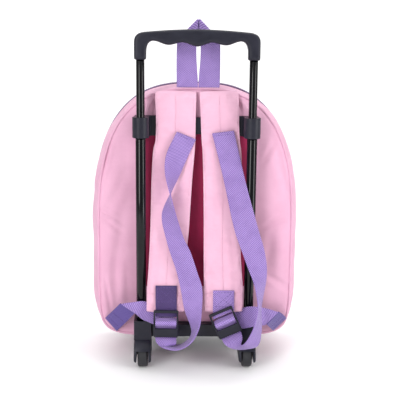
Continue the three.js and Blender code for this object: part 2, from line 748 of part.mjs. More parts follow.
function grip() {
  let solid = toSolid(plate(gripOutline(), -frameOut - gripThickness / 2, gripThickness, gripEdge));
  [-1, 1].forEach((side) => {
    const socket = post(rodDiameter / 2 + gap, sleeveBottom - 1, sleeveBottom + gripSocket,
      side * tubeX, -frameOut);
    solid = solid.subtract(toSolid(socket));
  });
  return toGeometry(solid);
}

// The shoulder straps

function strapHeight(row) {
  return bagBottom + row.up * bagHeight;
}

function strapLevel(row) {
  const bar = row.overBar * (barLevel - panelLevel);
  return panelLevel + bar + row.lift * (endLevel - barLevel);
}

function strapFront(side, z) {
  const rows = strapRows[side];
  let level = strapLevel(z > strapHeight(rows[0]) ? rows[0] : rows.at(-1));
  for (let i = 0; i + 1 < rows.length; i += 1) {
    const high = strapHeight(rows[i]);
    const low = strapHeight(rows[i + 1]);
    if (z <= high && z >= low) {
      const share = (high - z) / (high - low);
      level = strapLevel(rows[i]) * (1 - share) + strapLevel(rows[i + 1]) * share;
    }
  }
  return level + strapThickness / 2;
}

function shoulderStrap(side) {
  const cut = [[-1, 0.3], [-0.94, 0.8], [-0.8, 1], [0.8, 1], [0.94, 0.8], [1, 0.3]];
  const round = [...cut, ...cut.map(([across, out]) => [-across, -out])];
  const rings = strapRows[side].map((row) => {
    const middle = (tubeX * (row.outer + row.inner)) / 2;
    const half = (tubeX * Math.abs(row.outer - row.inner)) / 2;
    return round.map(([across, out]) => new THREE.Vector3(
      middle + across * half,
      -strapLevel(row) - (out * strapThickness) / 2,
      strapHeight(row),
    ));
  });
  return skin(rings, false);
}

// The webbing

// A ribbon through cuts that name its two edges, smoothed between them
function ribbon(cuts, thickness, steps) {
  const edgeA = new THREE.CatmullRomCurve3(cuts.map((cut) => cut.a), false, 'centripetal');
  const edgeB = new THREE.CatmullRomCurve3(cuts.map((cut) => cut.b), false, 'centripetal');
  const count = (cuts.length - 1) * steps;
  const sections = [];
  for (let i = 0; i <= count; i += 1) {
    const a = edgeA.getPoint(i / count);
    const b = edgeB.getPoint(i / count);
    const before = Math.max(i - 1, 0) / count;
    const after = Math.min(i + 1, count) / count;
    const travel = edgeA.getPoint(after).add(edgeB.getPoint(after));
    travel.sub(edgeA.getPoint(before)).sub(edgeB.getPoint(before));
    const half = new THREE.Vector3().crossVectors(b.clone().sub(a), travel);
    half.setLength(thickness / 2);
    sections.push([
      a.clone().add(half), b.clone().add(half), b.clone().sub(half), a.clone().sub(half),
    ]);
  }
  return skin(sections, false);
}

function cutAt(row, levelAt, reach = tubeX) {
  const aZ = bagBottom + row.aUp * bagHeight;
  const bZ = bagBottom + row.bUp * bagHeight;
  return {
    a: new THREE.Vector3(row.aAcross * reach, -levelAt(aZ, row.aOff), aZ),
    b: new THREE.Vector3(row.bAcross * reach, -levelAt(bZ, row.bOff), bZ),
  };
}

function tubeLevel(z, off) {
  const seat = gap + webbingThickness / 2;
  return off < 0 ? seat + tubeFront * (1 + off) : tubeFront + seat + off * tailSwing;
}

function tailLevel(side) {
  const seat = gap + webbingThickness / 2;
  return (z, off) => strapFront(side, z) + seat + off * tailSwing;
}

function cornerTab(side) {
  const cuts = tabRows[side].map((row) => cutAt(row, tubeLevel, halfWidth));
  return ribbon(cuts, webbingThickness, 4);
}

function buckleFrame(side) {
  const rows = strapRows[side];
  const { across, lean } = buckleHang[side];
  const level = strapFront(side, 0) + gap + tabThickness + gap;
  const frame = new THREE.Object3D();
  frame.position.set(across * tubeX, -level, strapHeight(rows.at(-1)) + buckleTopBar + buckleHook);
  frame.rotation.y = THREE.MathUtils.degToRad(lean);
  frame.updateMatrix();
  return frame;
}

// The way of the webbing through a buckle: out of the upper slot from behind, over the middle bar,
// back through the lower slot and down behind the lip. Each place has its height below the
// buckle's top, and how far it is out from the back face
function buckleWay() {
  const barTop = buckleTopBar + buckleUpperSlot;
  const lipTop = barTop + buckleMiddleBar + buckleLowerSlot;
  const barEnd = barTop + buckleMiddleBar;
  const seat = gap + webbingThickness / 2;
  const round = 1.1 * webbingThickness;
  const inside = 0.4 * buckleThickness;
  return [
    { down: barTop - 2 * webbingThickness, out: -seat - webbingThickness },
    { down: barTop - round, out: inside },
    { down: barTop - round / 2, out: buckleThickness + round / 2 },
    { down: barTop + buckleMiddleBar / 2, out: buckleThickness + round },
    { down: barEnd + round / 2, out: buckleThickness + round / 2 },
    { down: barEnd + round, out: inside },
    { down: lipTop + gap, out: -seat - gap },
    { down: buckleHeight, out: -seat },
  ];
}

function adjusterWebbing(side) {
  const outward = side === 'left' ? -1 : 1;
  const { matrix } = buckleFrame(side);
  const fold = cutAt(tabRows[side].at(-1), tubeLevel, halfWidth);
  const feed = feedRows[side].map((row) => cutAt(row, tubeLevel));
  const clear = new THREE.Vector3(0, -1.5 * webbingThickness - gap, 0);
  const start = {
    a: fold.b.clone().lerp(feed[0].a, foldShare.a).add(clear),
    b: fold.a.clone().lerp(feed[0].b, foldShare.b).add(clear),
  };
  const through = buckleWay().map(({ down, out }) => ({
    a: new THREE.Vector3((outward * webbingWidth) / 2, -out, -down).applyMatrix4(matrix),
    b: new THREE.Vector3((-outward * webbingWidth) / 2, -out, -down).applyMatrix4(matrix),
  }));
  const tail = tailRows[side].map((row) => cutAt(row, tailLevel(side)));
  return ribbon([start, ...feed, ...through, ...tail], webbingThickness, 3);
}

// A tab is sewn on its strap's end, and its lower part hangs behind the buckle's top bar. Its top
// is level, and from the bar down its cuts follow the buckle's lean
function strapTab(side) {
  const { position } = buckleFrame(side);
  const { lean, tabAside, tabDown } = buckleHang[side];
  const slope = -Math.tan(THREE.MathUtils.degToRad(lean));
  const rises = [
    { rise: (1 - tabDown) * tabHeight, follow: 0 },
    { rise: ((1 - tabDown) * tabHeight) / 2, follow: 0.5 },
    { rise: buckleHook, follow: 1 },
    { rise: -buckleTopBar - buckleUpperSlot / 2, follow: 1 },
  ];
  const cuts = rises.map(({ rise, follow }) => {
    const [a, b] = [-0.5, 0.5].map((share) => {
      const aside = (tabAside + share) * tabWidth;
      const z = position.z + rise + follow * slope * aside;
      const y = -strapFront(side, z) - gap - tabThickness / 2;
      return new THREE.Vector3(position.x + aside, y, z);
    });
    return { a, b };
  });
  return ribbon(cuts, tabThickness, 2);
}

function buckle() {
  const half = buckleWidth / 2;
  const slotHalf = half - buckleRail;
  const outer = new THREE.Shape();
  outer.moveTo(-half, -buckleCorner);
  outer.lineTo(-half + buckleCorner, 0);
  outer.lineTo(half - buckleCorner, 0);
  outer.lineTo(half, -buckleCorner);
  outer.lineTo(half, -buckleHeight + buckleFoot);
  outer.lineTo(half - buckleFoot, -buckleHeight);
  outer.lineTo(-half + buckleFoot, -buckleHeight);
  outer.lineTo(-half, -buckleHeight + buckleFoot);
  let top = buckleTopBar;
  [buckleUpperSlot, buckleLowerSlot].forEach((height) => {
    const slot = new THREE.Path();
    slot.moveTo(-slotHalf, -top);
    slot.lineTo(-slotHalf, -top - height);
    slot.lineTo(slotHalf, -top - height);
    slot.lineTo(slotHalf, -top);
    outer.holes.push(slot);
    top += height + buckleMiddleBar;
  });
  return plate(outer, -buckleThickness, buckleThickness);
}

function carryLoop() {
  const seam = bagTop - seamInset - clothThickness / 2 + pipingRadius + gap;
  const half = webbingWidth;
  const shape = new THREE.Shape();
  shape.moveTo(-half, seam);
  shape.lineTo(-half, seam + loopShoulder);
  shape.lineTo(0, seam + loopRise);
  shape.lineTo(half, seam + loopShoulder);
  shape.lineTo(half, seam);
  shape.lineTo(gap, seam);
  shape.lineTo(loopWedge, seam + loopShoulder - loopWedge);
  shape.lineTo(0, seam + loopShoulder);
  shape.lineTo(-loopWedge, seam + loopShoulder - loopWedge);
  shape.lineTo(-gap, seam);
  const crossing = new THREE.Shape();
  crossing.moveTo(-half, seam + loopShoulder + gap);
  crossing.lineTo(0, seam + loopRise);
  crossing.lineTo(half, seam + loopShoulder + gap);
  const strands = toSolid(plate(shape, -loopThickness / 2, loopThickness));
  const loop = strands.add(toSolid(plate(crossing, 0, 1.5 * loopThickness)));
  return toGeometry(loop.translate([loopShift, 0, 0]));
}

// The whole

const backpack = new THREE.Group();

function add(name, geometry, colour) {
  const mesh = new THREE.Mesh(geometry, material(colour));
  mesh.name = name;
  backpack.add(mesh);
  return mesh;
}

add('back_panel', backPanel(), 'burgundyCloth');
add('gusset', gusset(), 'sideCloth');
add('front_panel', frontPanel(), 'pinkCloth');
add('back_piping', piping(pipingRadius, 0), 'pinkCloth');
add('front_piping', piping(gussetFront + gap + pipingRadius, 1), 'darkWebbing');
add('zip_tape', zipTape(), 'zip');
add('zip_slider', zipSlider(), 'satinPlastic');
add('carry_loop', carryLoop(), 'webbing');
add('upper_bracket', upperBracket(), 'satinPlastic');
add('base_bar', baseBar(), 'satinPlastic');
add('base_plate', basePlate(), 'satinPlastic');
add('handle_grip', grip(), 'satinPlastic');

[['left', -1], ['right', 1]].forEach(([name, side]) => {
  add(`shoulder_strap_${name}`, shoulderStrap(name), 'pinkCloth');
  add(`strap_tab_${name}`, strapTab(name), 'darkWebbing');
  const frame = buckleFrame(name);
  const lock = add(`buckle_${name}`, buckle(), 'satinPlastic');
  lock.position.copy(frame.position);
  lock.rotation.copy(frame.rotation);
  add(`corner_tab_${name}`, cornerTab(name), 'darkWebbing');
  add(`adjuster_webbing_${name}`, adjusterWebbing(name), 'webbing');
  add(`tube_${name}`, tube(side), 'glossTube');
  add(`rod_${name}`, post(rodDiameter / 2, rodTop - rodLength, rodTop, side * tubeX, -frameOut),
    'glossTube');
  add(`leg_${name}`, leg(side), 'satinPlastic');
  add(`axle_${name}`, pin(axleDiameter / 2, legWidth, side * wheelX, -frameOut, wheelRadius),
    'axleSteel');
  add(`wheel_${name}`, wheel(side), 'wheelPlastic');
});

backpack.updateMatrixWorld(true);
const bounds = new THREE.Box3().setFromObject(backpack, true);
const middle = bounds.getCenter(new THREE.Vector3());
backpack.position.set(-middle.x, -middle.y, -bounds.min.z);

export default backpack;
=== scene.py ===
"""A child's wheeled backpack: a soft pink bag with padded shoulder straps and purple webbing, on a
black frame with a telescoping handle and two wheels. Lengths are millimetres in the bag's own
frame: the back panel's outer face is y = 0, the floor z = 0 and +Y the bag's front."""

import math
from collections import namedtuple

import bmesh
import bpy
import numpy as np
from mathutils import Matrix, Vector
from mathutils.bvhtree import BVHTree


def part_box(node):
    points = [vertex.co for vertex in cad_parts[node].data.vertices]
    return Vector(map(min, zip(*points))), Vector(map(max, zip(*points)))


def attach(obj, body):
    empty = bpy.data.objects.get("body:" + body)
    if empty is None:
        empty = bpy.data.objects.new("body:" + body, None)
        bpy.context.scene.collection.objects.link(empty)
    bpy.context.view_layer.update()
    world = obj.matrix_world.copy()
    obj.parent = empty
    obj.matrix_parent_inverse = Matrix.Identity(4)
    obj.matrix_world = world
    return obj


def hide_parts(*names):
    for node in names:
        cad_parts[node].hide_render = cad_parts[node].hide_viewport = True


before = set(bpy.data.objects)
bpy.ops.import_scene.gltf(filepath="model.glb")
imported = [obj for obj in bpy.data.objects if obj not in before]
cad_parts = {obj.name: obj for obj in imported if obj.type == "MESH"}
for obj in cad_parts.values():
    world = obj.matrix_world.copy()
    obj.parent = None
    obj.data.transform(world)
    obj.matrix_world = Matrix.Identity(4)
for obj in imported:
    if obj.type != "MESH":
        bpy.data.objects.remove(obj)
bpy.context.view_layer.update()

MM = 0.001
SIDES = ("left", "right")
SIGNS = (("left", -1), ("right", 1))
BACK_LOW, BACK_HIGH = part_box("back_panel")
ORIGIN = np.array([(BACK_LOW.x + BACK_HIGH.x) / 2, BACK_LOW.y, 0.0])

# The bag, as in the frame
BAG_HALF_WIDTH = 129.5
BAG_HEIGHT = 316.0
BAG_BOTTOM = 28.0
BAG_TOP = BAG_BOTTOM + BAG_HEIGHT
WIDEST_RISE = 122.0
WIDEST_HEIGHT = BAG_BOTTOM + WIDEST_RISE
UPPER_FULLNESS = 2.7
LOWER_FULLNESS = 6.0
GUSSET_BACK = 3.5
GUSSET_DEPTH = 90.0
GUSSET_FRONT = GUSSET_BACK + GUSSET_DEPTH
FRONT_DOME = 14.0
FRONT_TAPER = 3.0
SEAM_INSET = 3.0
SIDE_SWELL = 7.0
CLOTH = 1.8
PIPING_RADIUS = 1.6
GAP = 0.3

# The frame
TUBE_X = 65.5
TUBE_Y = -21.2
TUBE_RADIUS = 6.0
TUBE_BORE = 5.3  # the bores here are radii
ROD_BORE = 1.0
PIN_RADIUS = 2.0
PIN_BORE = 0.5
WHEEL_X = 64.0
WHEEL_RADIUS = 17.0
WHEEL_WIDTH = 12.0
WHEEL_BORE = 2.35

# The soft goods
WEBBING_WIDTH = 25.4
WEBBING_THICKNESS = 1.3
STRAP_THICKNESS = 5.0
STITCH_LENGTH = 2.5
STITCH_PITCH = 3.6
STITCH_RADIUS = 0.26
# The burgundy middle of the back panel, between the tubes, is painted shade: the shadow in the recess
# behind the straps, painted into the cloth's colour
PAINTED_SHADE_HALF_WIDTH = 62.0
PAINTED_SHADE_BOTTOM = 96.0
PAINTED_SHADE_TOP = 300.0


def placed(points):
    """Points in the bag's frame, in millimetres, to the row frame in metres."""
    return np.asarray(points, float) * MM + ORIGIN


def local(points):
    """Points of the row frame to the bag's frame."""
    return (np.asarray(points, float) - ORIGIN) / MM


def linked(name, data):
    """A new object of some data, put in the scene."""
    obj = bpy.data.objects.new(name, data)
    bpy.context.scene.collection.objects.link(obj)
    return obj


# Camera, lights and floor, in metres and degrees

CAMERA_DISTANCE = 1.0
CAMERA_ELEVATION = 12.0
CAMERA_AZIMUTH = -1.5
CAMERA_ROLL = 0.57
CAMERA_LENS = 75.0  # millimetres, and so is the sensor
CAMERA_SENSOR = 36.0
CAMERA_TARGET = Vector(placed((5.0, -15.0, 208.7)))


def make_camera():
    azimuth, elevation, roll = (
        math.radians(a) for a in (CAMERA_AZIMUTH, CAMERA_ELEVATION, CAMERA_ROLL)
    )
    back = Vector((
        math.sin(azimuth) * math.cos(elevation),
        -math.cos(azimuth) * math.cos(elevation),
        math.sin(elevation),
    ))
    right = (-back).cross(Vector((0, 0, 1))).normalized()
    up = right.cross(-back)
    across = math.cos(roll) * right + math.sin(roll) * up
    upward = math.cos(roll) * up - math.sin(roll) * right
    data = bpy.data.cameras.new("camera")
    data.lens = CAMERA_LENS
    data.sensor_width = CAMERA_SENSOR
    camera = linked("camera", data)
    turn = Matrix((across, upward, back)).transposed().to_4x4()
    camera.matrix_world = Matrix.Translation(CAMERA_TARGET + back * CAMERA_DISTANCE) @ turn
    bpy.context.scene.camera = camera


PART_MIDDLE = (0.0, 0.0, 0.2)
BACKDROP_MIDDLE = (0.0, 2.4, 0.6)
Light = namedtuple("Light", "name place target width height power")
LIGHTS = [
    Light("key", (-0.95, -1.45, 0.75), PART_MIDDLE, 0.55, 1.2, 16),
    Light("side", (1.3, -0.8, 0.55), PART_MIDDLE, 0.5, 1.2, 12),
    Light("top", (0.1, -0.6, 2.1), PART_MIDDLE, 3.0, 2.4, 22),
    Light("backdrop", (0.0, 0.6, 2.6), BACKDROP_MIDDLE, 2.4, 0.8, 40),
]
WORLD_STRENGTH = 0.4


def make_lights():
    for row in LIGHTS:
        data = bpy.data.lights.new(row.name, "AREA")
        data.shape = "RECTANGLE"
        data.size = row.width
        data.size_y = row.height
        data.energy = row.power
        light = linked(row.name, data)
        way = Vector(row.target) - Vector(row.place)
        light.location = row.place
        light.rotation_euler = way.to_track_quat("-Z", "Y").to_euler()
    world = bpy.data.worlds.new("studio")
    bpy.context.scene.world = world
    world.use_nodes = True
    background = world.node_tree.nodes["Background"].inputs
    background["Color"].default_value = (1, 1, 1, 1)
    background["Strength"].default_value = WORLD_STRENGTH
    bpy.context.scene.view_settings.view_transform = "Standard"


FLOOR_FRONT = -2.6
FLOOR_BACK = 1.4
FLOOR_HALF_WIDTH = 3.0
FLOOR_BEND = 0.9
FLOOR_HEIGHT = 3.2
FLOOR_STEPS = 16  # in its bend


def make_floor(material):
    line = [(FLOOR_FRONT, 0.0), (FLOOR_BACK, 0.0)]
    for step in range(1, FLOOR_STEPS + 1):
        angle = math.radians(90 * step / FLOOR_STEPS)
        line.append((
            FLOOR_BACK + FLOOR_BEND * math.sin(angle),
            FLOOR_BEND * (1 - math.cos(angle)),
        ))
    line.append((FLOOR_BACK + FLOOR_BEND, FLOOR_HEIGHT))
    verts = [(x, y, z) for y, z in line for x in (-FLOOR_HALF_WIDTH, FLOOR_HALF_WIDTH)]
    faces = [(2 * i, 2 * i + 1, 2 * i + 3, 2 * i + 2) for i in range(len(line) - 1)]
    mesh = bpy.data.meshes.new("floor")
    mesh.from_pydata(verts, [], faces)
    mesh.shade_smooth()
    mesh.materials.append(material)
    linked("floor", mesh)


# Material helpers


class Surface:
    """A material with one principled shader, and short calls for the nodes that feed it."""

    def __init__(self, name, colour, roughness, **values):
        self.material = bpy.data.materials.new(name)
        self.material.use_nodes = True
        self.tree = self.material.node_tree
        self.shader = self.tree.nodes["Principled BSDF"]
        self.fill(self.shader, Base_Color=(*colour, 1), Roughness=roughness, **values)

    def put(self, target, value):
        if isinstance(value, bpy.types.NodeSocket):
            self.tree.links.new(value, target)
        else:
            target.default_value = value

    def fill(self, node, **values):
        for name, value in values.items():
            self.put(node.inputs[name.replace("_", " ")], value)
        return node

    def node(self, kind, **values):
        return self.fill(self.tree.nodes.new(f"ShaderNode{kind}"), **values)

    def coordinates(self, kind="Object"):
        return self.node("TexCoord").outputs[kind]

    def split(self, vector):
        return self.node("SeparateXYZ", Vector=vector).outputs

    def math(self, operation, first, second=0.0, third=0.0):
        node = self.node("Math")
        node.operation = operation
        for target, value in zip(node.inputs, (first, second, third)):
            self.put(target, value)
        return node.outputs[0]

    def remap(self, value, low, high, new_low=0.0, new_high=1.0):
        node = self.node(
            "MapRange", Value=value, From_Min=low, From_Max=high, To_Min=new_low, To_Max=new_high)
        return node.outputs["Result"]

    def noise(self, vector, size, detail=3.0, rough=0.5):
        """Noise with features of about size millimetres."""
        node = self.node(
            "TexNoise", Vector=vector, Scale=1 / (size * MM), Detail=detail, Roughness=rough)
        return node.outputs["Fac"]

    def ripple(self, value, period):
        """A sine from 0 to 1 over a length, whose period is in the same unit."""
        turn = self.math("MULTIPLY", value, 2 * math.pi / period)
        return self.remap(self.math("SINE", turn), -1, 1)

    def mix(self, share, first, second):
        node = self.node("Mix")
        node.data_type = "RGBA"
        self.put(node.inputs["Factor"], share)
        for target, value in ((node.inputs[6], first), (node.inputs[7], second)):
            self.put(target, value if isinstance(value, bpy.types.NodeSocket) else (*value, 1))
        return node.outputs[2]

    def bump(self, height, depth, normal=None):
        """Bump whose full height is depth millimetres."""
        node = self.node("Bump", Height=height, Distance=depth * MM)
        if normal is not None:
            self.put(node.inputs["Normal"], normal)
        return node.outputs["Normal"]

    def finish(self, **values):
        """The material, with its shader fed."""
        self.fill(self.shader, **values)
        return self.material


CLOTH_RIB = 1.5  # pitches of the cloth's weave, in millimetres
CLOTH_THREAD = 0.9
CLOUD_SIZE = 9.0
CLOUD_DEPTH = 0.25
# How soft the edges of the burgundy painted shade are
PAINTED_SHADE_BLUR = 0.4


def weave(surface):
    """The ribbed weave of the bag's cloth: level ribs over finer upright threads."""
    x, y, z = surface.split(surface.coordinates())[:3]
    ribs = surface.ripple(z, CLOTH_RIB * MM)
    threads = surface.ripple(surface.math("ADD", x, y), CLOTH_THREAD * MM)
    return surface.math("MULTIPLY_ADD", threads, 0.35, surface.math("MULTIPLY", ribs, 0.65))


def cloth_look(surface, wash_size, thread_share, least, most):
    """The weave, the wash over it, and how far each place leans to the shade."""
    threads = weave(surface)
    wash = surface.noise(surface.coordinates(), wash_size, 4, 0.6)
    washed = surface.remap(wash, 0.35, 0.7, least, most)
    share = surface.math("MULTIPLY_ADD", threads, thread_share, washed)
    return threads, wash, surface.remap(share, 0, 1)


def cloth_normal(surface, threads, depth):
    cloudy = surface.bump(surface.noise(surface.coordinates(), CLOUD_SIZE), CLOUD_DEPTH)
    return surface.bump(threads, depth, cloudy)


def cloth_material(name, colour, shade, rib_depth=0.16):
    surface = Surface(name, colour, 0.86, Sheen_Weight=0.12, Sheen_Roughness=0.5)
    threads, wash, share = cloth_look(surface, 38, -0.45, 0.35, 0.9)
    return surface.finish(
        Base_Color=surface.mix(share, colour, shade),
        Roughness=surface.remap(wash, 0.3, 0.7, 0.8, 0.92),
        Normal=cloth_normal(surface, threads, rib_depth),
    )


def back_material(pink, painted_shade):
    """Pink cloth with painted shade in the middle between the tubes: a burgundy band that stands in for
    the shadow behind the straps.
    """
    surface = Surface("back_cloth", pink[0], 0.88, Sheen_Weight=0.2, Sheen_Roughness=0.5)
    x, _, z = surface.split(surface.coordinates())[:3]
    across = surface.math("ABSOLUTE", surface.math("SUBTRACT", x, float(ORIGIN[0])))

    def edge(value, place, way):
        blur = way * PAINTED_SHADE_BLUR
        return surface.remap(value, (place - blur) * MM, (place + blur) * MM)

    # The mask of the painted shade: across the middle between the tubes, and between its bottom and top
    inner = edge(across, PAINTED_SHADE_HALF_WIDTH, -1)
    rows = surface.math("MULTIPLY", edge(z, PAINTED_SHADE_BOTTOM, 1), edge(z, PAINTED_SHADE_TOP, -1))
    middle = surface.math("MULTIPLY", inner, rows)
    threads, _, share = cloth_look(surface, 40, -0.22, 0.2, 0.75)
    # Inside the mask the pink gives way to the burgundy painted shade
    return surface.finish(
        Base_Color=surface.mix(middle, surface.mix(share, *pink), surface.mix(share, *painted_shade)),
        Normal=cloth_normal(surface, threads, 0.10),
    )


RIB_ACROSS = 2.4  # of the webbing's weave, in millimetres
RIB_ALONG = 2.1
UV_UNIT = 10.0  # millimetres of webbing in one UV unit


def webbing_material(name, colour, shade, painted_glint):
    """A weave of raised dots, laid out by the UV map, which is measured along the webbing. Painted light
    follows the dots: their tops lean to the glint colour, a painted highlight, and the hollows between
    them to the shade colour, painted shade. A random wash also leans to the shade colour.
    """
    surface = Surface(name, colour, 0.6, Sheen_Weight=0.3, Sheen_Roughness=0.4)
    across, along = surface.split(surface.coordinates("UV"))[:2]
    waves = [
        surface.math("SINE", surface.math("MULTIPLY", value, 2 * math.pi * UV_UNIT / rib))
        for value, rib in ((across, RIB_ACROSS), (along, RIB_ALONG))
    ]
    dots = surface.remap(surface.math("MULTIPLY", *waves), -1, 1)
    wash = surface.noise(surface.coordinates(), 14)
    # Painted shade in the hollows between the dots
    tone = surface.mix(surface.remap(dots, 0.15, 0.6), shade, colour)
    # Painted highlight on the dots' tops
    tone = surface.mix(surface.remap(dots, 0.66, 0.95, 0, 0.9), tone, painted_glint)
    tone = surface.mix(surface.remap(wash, 0.45, 0.8, 0, 0.35), tone, shade)
    return surface.finish(
        Base_Color=tone,
        Roughness=surface.remap(dots, 0, 1, 0.75, 0.45),
        Normal=surface.bump(dots, 0.45),
    )


def plastic_material(name, colour, roughness, depth=0.03, **values):
    surface = Surface(name, colour, roughness, **values)
    coords = surface.coordinates()
    fine = surface.noise(coords, 0.8, 2)
    scuff = surface.noise(coords, 24, 5, 0.65)
    lighter = tuple(1.6 * c + 0.004 for c in colour)
    return surface.finish(
        Base_Color=surface.mix(surface.remap(scuff, 0.45, 0.75, 0, 0.6), colour, lighter),
        Roughness=surface.remap(scuff, 0.35, 0.7, 0.82 * roughness, 1.2 * roughness),
        Normal=surface.bump(fine, depth),
    )


def thread_material(name, colour):
    surface = Surface(name, colour, 0.7, Sheen_Weight=0.3)
    twist = surface.noise(surface.coordinates(), 0.5, 2)
    darker = tuple(0.7 * c for c in colour)
    return surface.finish(
        Base_Color=surface.mix(surface.remap(twist, 0.3, 0.7), colour, darker),
        Normal=surface.bump(twist, 0.05),
    )


def floor_material():
    surface = Surface("pale_floor", (0.95, 0.95, 0.95), 0.9)
    mottle = surface.noise(surface.coordinates(), 60)
    return surface.finish(Roughness=surface.remap(mottle, 0, 1, 0.85, 0.95))


# Colours: a cloth's own and its shade, and a webbing's glint, a painted highlight on its dots
PINK = (0.79, 0.46, 0.60), (0.69, 0.37, 0.51)
SIDE_PINK = (0.74, 0.41, 0.56), (0.63, 0.32, 0.46)
# The burgundy pair is painted shade for the shadowed middle of the back panel, not a cloth of its own
PAINTED_SHADE_BURGUNDY = (0.36, 0.010, 0.075), (0.26, 0.008, 0.055)
ZIP_MAUVE = (0.24, 0.17, 0.30), (0.15, 0.10, 0.20)
PURPLE = (0.31, 0.19, 0.54), (0.14, 0.075, 0.30), (0.66, 0.50, 0.86)
# The corner tabs' purple, a darker copy of PURPLE: painted shade for the folded webbing's inner face,
# which lies in shadow
PAINTED_SHADE_PURPLE = (0.085, 0.043, 0.27), (0.050, 0.025, 0.18), (0.20, 0.13, 0.50)
DARK_PURPLE = (0.052, 0.020, 0.140), (0.030, 0.014, 0.085), (0.12, 0.07, 0.22)
SATIN_BLACK = (0.011, 0.011, 0.020)
GLOSS_BLACK = (0.001, 0.001, 0.002)
WHEEL_BLACK = (0.013, 0.013, 0.017)
STEEL = (0.45, 0.45, 0.47)
ZIP_METAL = (0.05, 0.05, 0.055)
PINK_THREAD = (0.88, 0.50, 0.66)
PURPLE_THREAD = (0.11, 0.05, 0.24)

# Mesh helpers


def new_object(name, verts, faces, uvs=None):
    """An object from points in the bag's frame. uvs has one pair for each vertex."""
    mesh = bpy.data.meshes.new(name)
    mesh.from_pydata(placed(verts).tolist(), [], [tuple(int(i) for i in f) for f in faces])
    if uvs is not None:
        layer = mesh.uv_layers.new(name="UVMap")
        index = np.empty(len(mesh.loops), int)
        mesh.loops.foreach_get("vertex_index", index)
        layer.data.foreach_set("uv", np.asarray(uvs, np.float32)[index].ravel())
    mesh.shade_smooth()
    return linked(name, mesh)


def grid_faces(rows, cols, wrap_rows=False, wrap_cols=False):
    faces = []
    for i in range(rows if wrap_rows else rows - 1):
        here, there = i * cols, ((i + 1) % rows) * cols
        for j in range(cols if wrap_cols else cols - 1):
            k = (j + 1) % cols
            faces.append((here + j, here + k, there + k, there + j))
    return faces


def reworked(mesh, change):
    """Changes a mesh as a bmesh, by a function of it."""
    work = bmesh.new()
    work.from_mesh(mesh)
    change(work)
    work.to_mesh(mesh)
    work.free()


def facing_out(obj):
    """Turns all faces outwards."""
    reworked(obj.data, lambda work: bmesh.ops.recalc_face_normals(work, faces=work.faces))
    return obj


def skin(name, sections, closed=False, uvs=None):
    """A skin over sections of equally many points. It closes on itself or has a cap at each end."""
    sections = np.asarray(sections, float)
    rows, cols = sections.shape[:2]
    verts = sections.reshape(-1, 3)
    faces = grid_faces(rows, cols, wrap_rows=closed, wrap_cols=True)
    if not closed:
        faces.append(tuple(range(cols)))
        faces.append(tuple(range((rows - 1) * cols, rows * cols)))
    flat = None if uvs is None else np.asarray(uvs, float).reshape(-1, 2)
    return facing_out(new_object(name, verts, faces, flat))


def applied(obj):
    """Applies the object's modifiers to its mesh."""
    graph = bpy.context.evaluated_depsgraph_get()
    graph.update()
    mesh = bpy.data.meshes.new_from_object(obj.evaluated_get(graph), depsgraph=graph)
    old = obj.data
    obj.modifiers.clear()
    obj.data = mesh
    bpy.data.meshes.remove(old)
    return obj


def walled(obj, thickness):
    """Gives an open sheet a wall on its inner side."""
    wall = obj.modifiers.new("wall", "SOLIDIFY")
    wall.thickness = thickness * MM
    wall.offset = -1
    return applied(obj)


def dressed(obj, material, slot, *nodes, body="bag"):
    """Gives a piece its material and body, and hides the CAD nodes that it stands for. The slot is not
    used.
    """
    obj.data.materials.clear()
    obj.data.materials.append(material)
    if nodes:
        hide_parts(*nodes)
    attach(obj, body)
    return obj


def joined(name, objects):
    """One object from several, whose meshes are kept as they are."""
    work = bmesh.new()
    for obj in objects:
        work.from_mesh(obj.data)
    mesh = bpy.data.meshes.new(name)
    work.to_mesh(mesh)
    work.free()
    for obj in objects:
        bpy.data.objects.remove(obj)
    mesh.shade_smooth()
    return linked(name, mesh)


def fused(obj, voxel, rounds, factor=0.5):
    """Melts overlapping shells into one skin, and smooths it."""
    remesh = obj.modifiers.new("fuse", "REMESH")
    remesh.mode = "VOXEL"
    remesh.voxel_size = voxel * MM
    smooth = obj.modifiers.new("smooth", "SMOOTH")
    smooth.factor = factor
    smooth.iterations = rounds
    applied(obj)
    obj.data.shade_smooth()
    return obj


def smoothstep(value, low, high):
    share = np.clip((value - low) / (high - low), 0, 1)
    return share * share * (3 - 2 * share)


def spline(points, steps):
    """A Catmull-Rom curve through the points, with so many steps between each two."""
    points = np.asarray(points, float)
    before = np.vstack([2 * points[0] - points[1], points[:-2]])
    after = np.vstack([points[2:], 2 * points[-1] - points[-2]])
    made = []
    for step in range(steps):
        t = step / steps
        made.append(0.5 * (
            2 * points[:-1]
            + (points[1:] - before) * t
            + (2 * before - 5 * points[:-1] + 4 * points[1:] - after) * t ** 2
            + (3 * points[:-1] - before - 3 * points[1:] + after) * t ** 3
        ))
    return np.vstack([np.stack(made, 1).reshape(-1, points.shape[1]), points[-1:]])


def unit(vectors):
    return vectors / np.linalg.norm(vectors, axis=-1, keepdims=True)


def run_of(points):
    """The length along a line at each of its points."""
    return np.concatenate([[0], np.cumsum(np.linalg.norm(np.diff(points, axis=0), axis=1))])


def along_line(line, runs):
    """Points of a line at lengths along it."""
    length = run_of(line)
    return np.stack([np.interp(runs, length, column) for column in line.T], -1)


def soft_noise(x, y, size, seed):
    """Smooth noise from -1 to 1 over two coordinates, from a seeded sum of waves."""
    chance = np.random.default_rng(seed)
    total = np.zeros(np.broadcast(x, y).shape)
    waves = 9
    for _ in range(waves):
        angle = chance.uniform(0, 2 * math.pi)
        length = size * chance.uniform(0.7, 1.8)
        phase = chance.uniform(0, 2 * math.pi)
        total += np.sin((x * math.cos(angle) + y * math.sin(angle)) * 2 * math.pi / length + phase)
    return total / math.sqrt(waves)


Fold = namedtuple("Fold", "x y angle length width depth bend", defaults=[0.0])


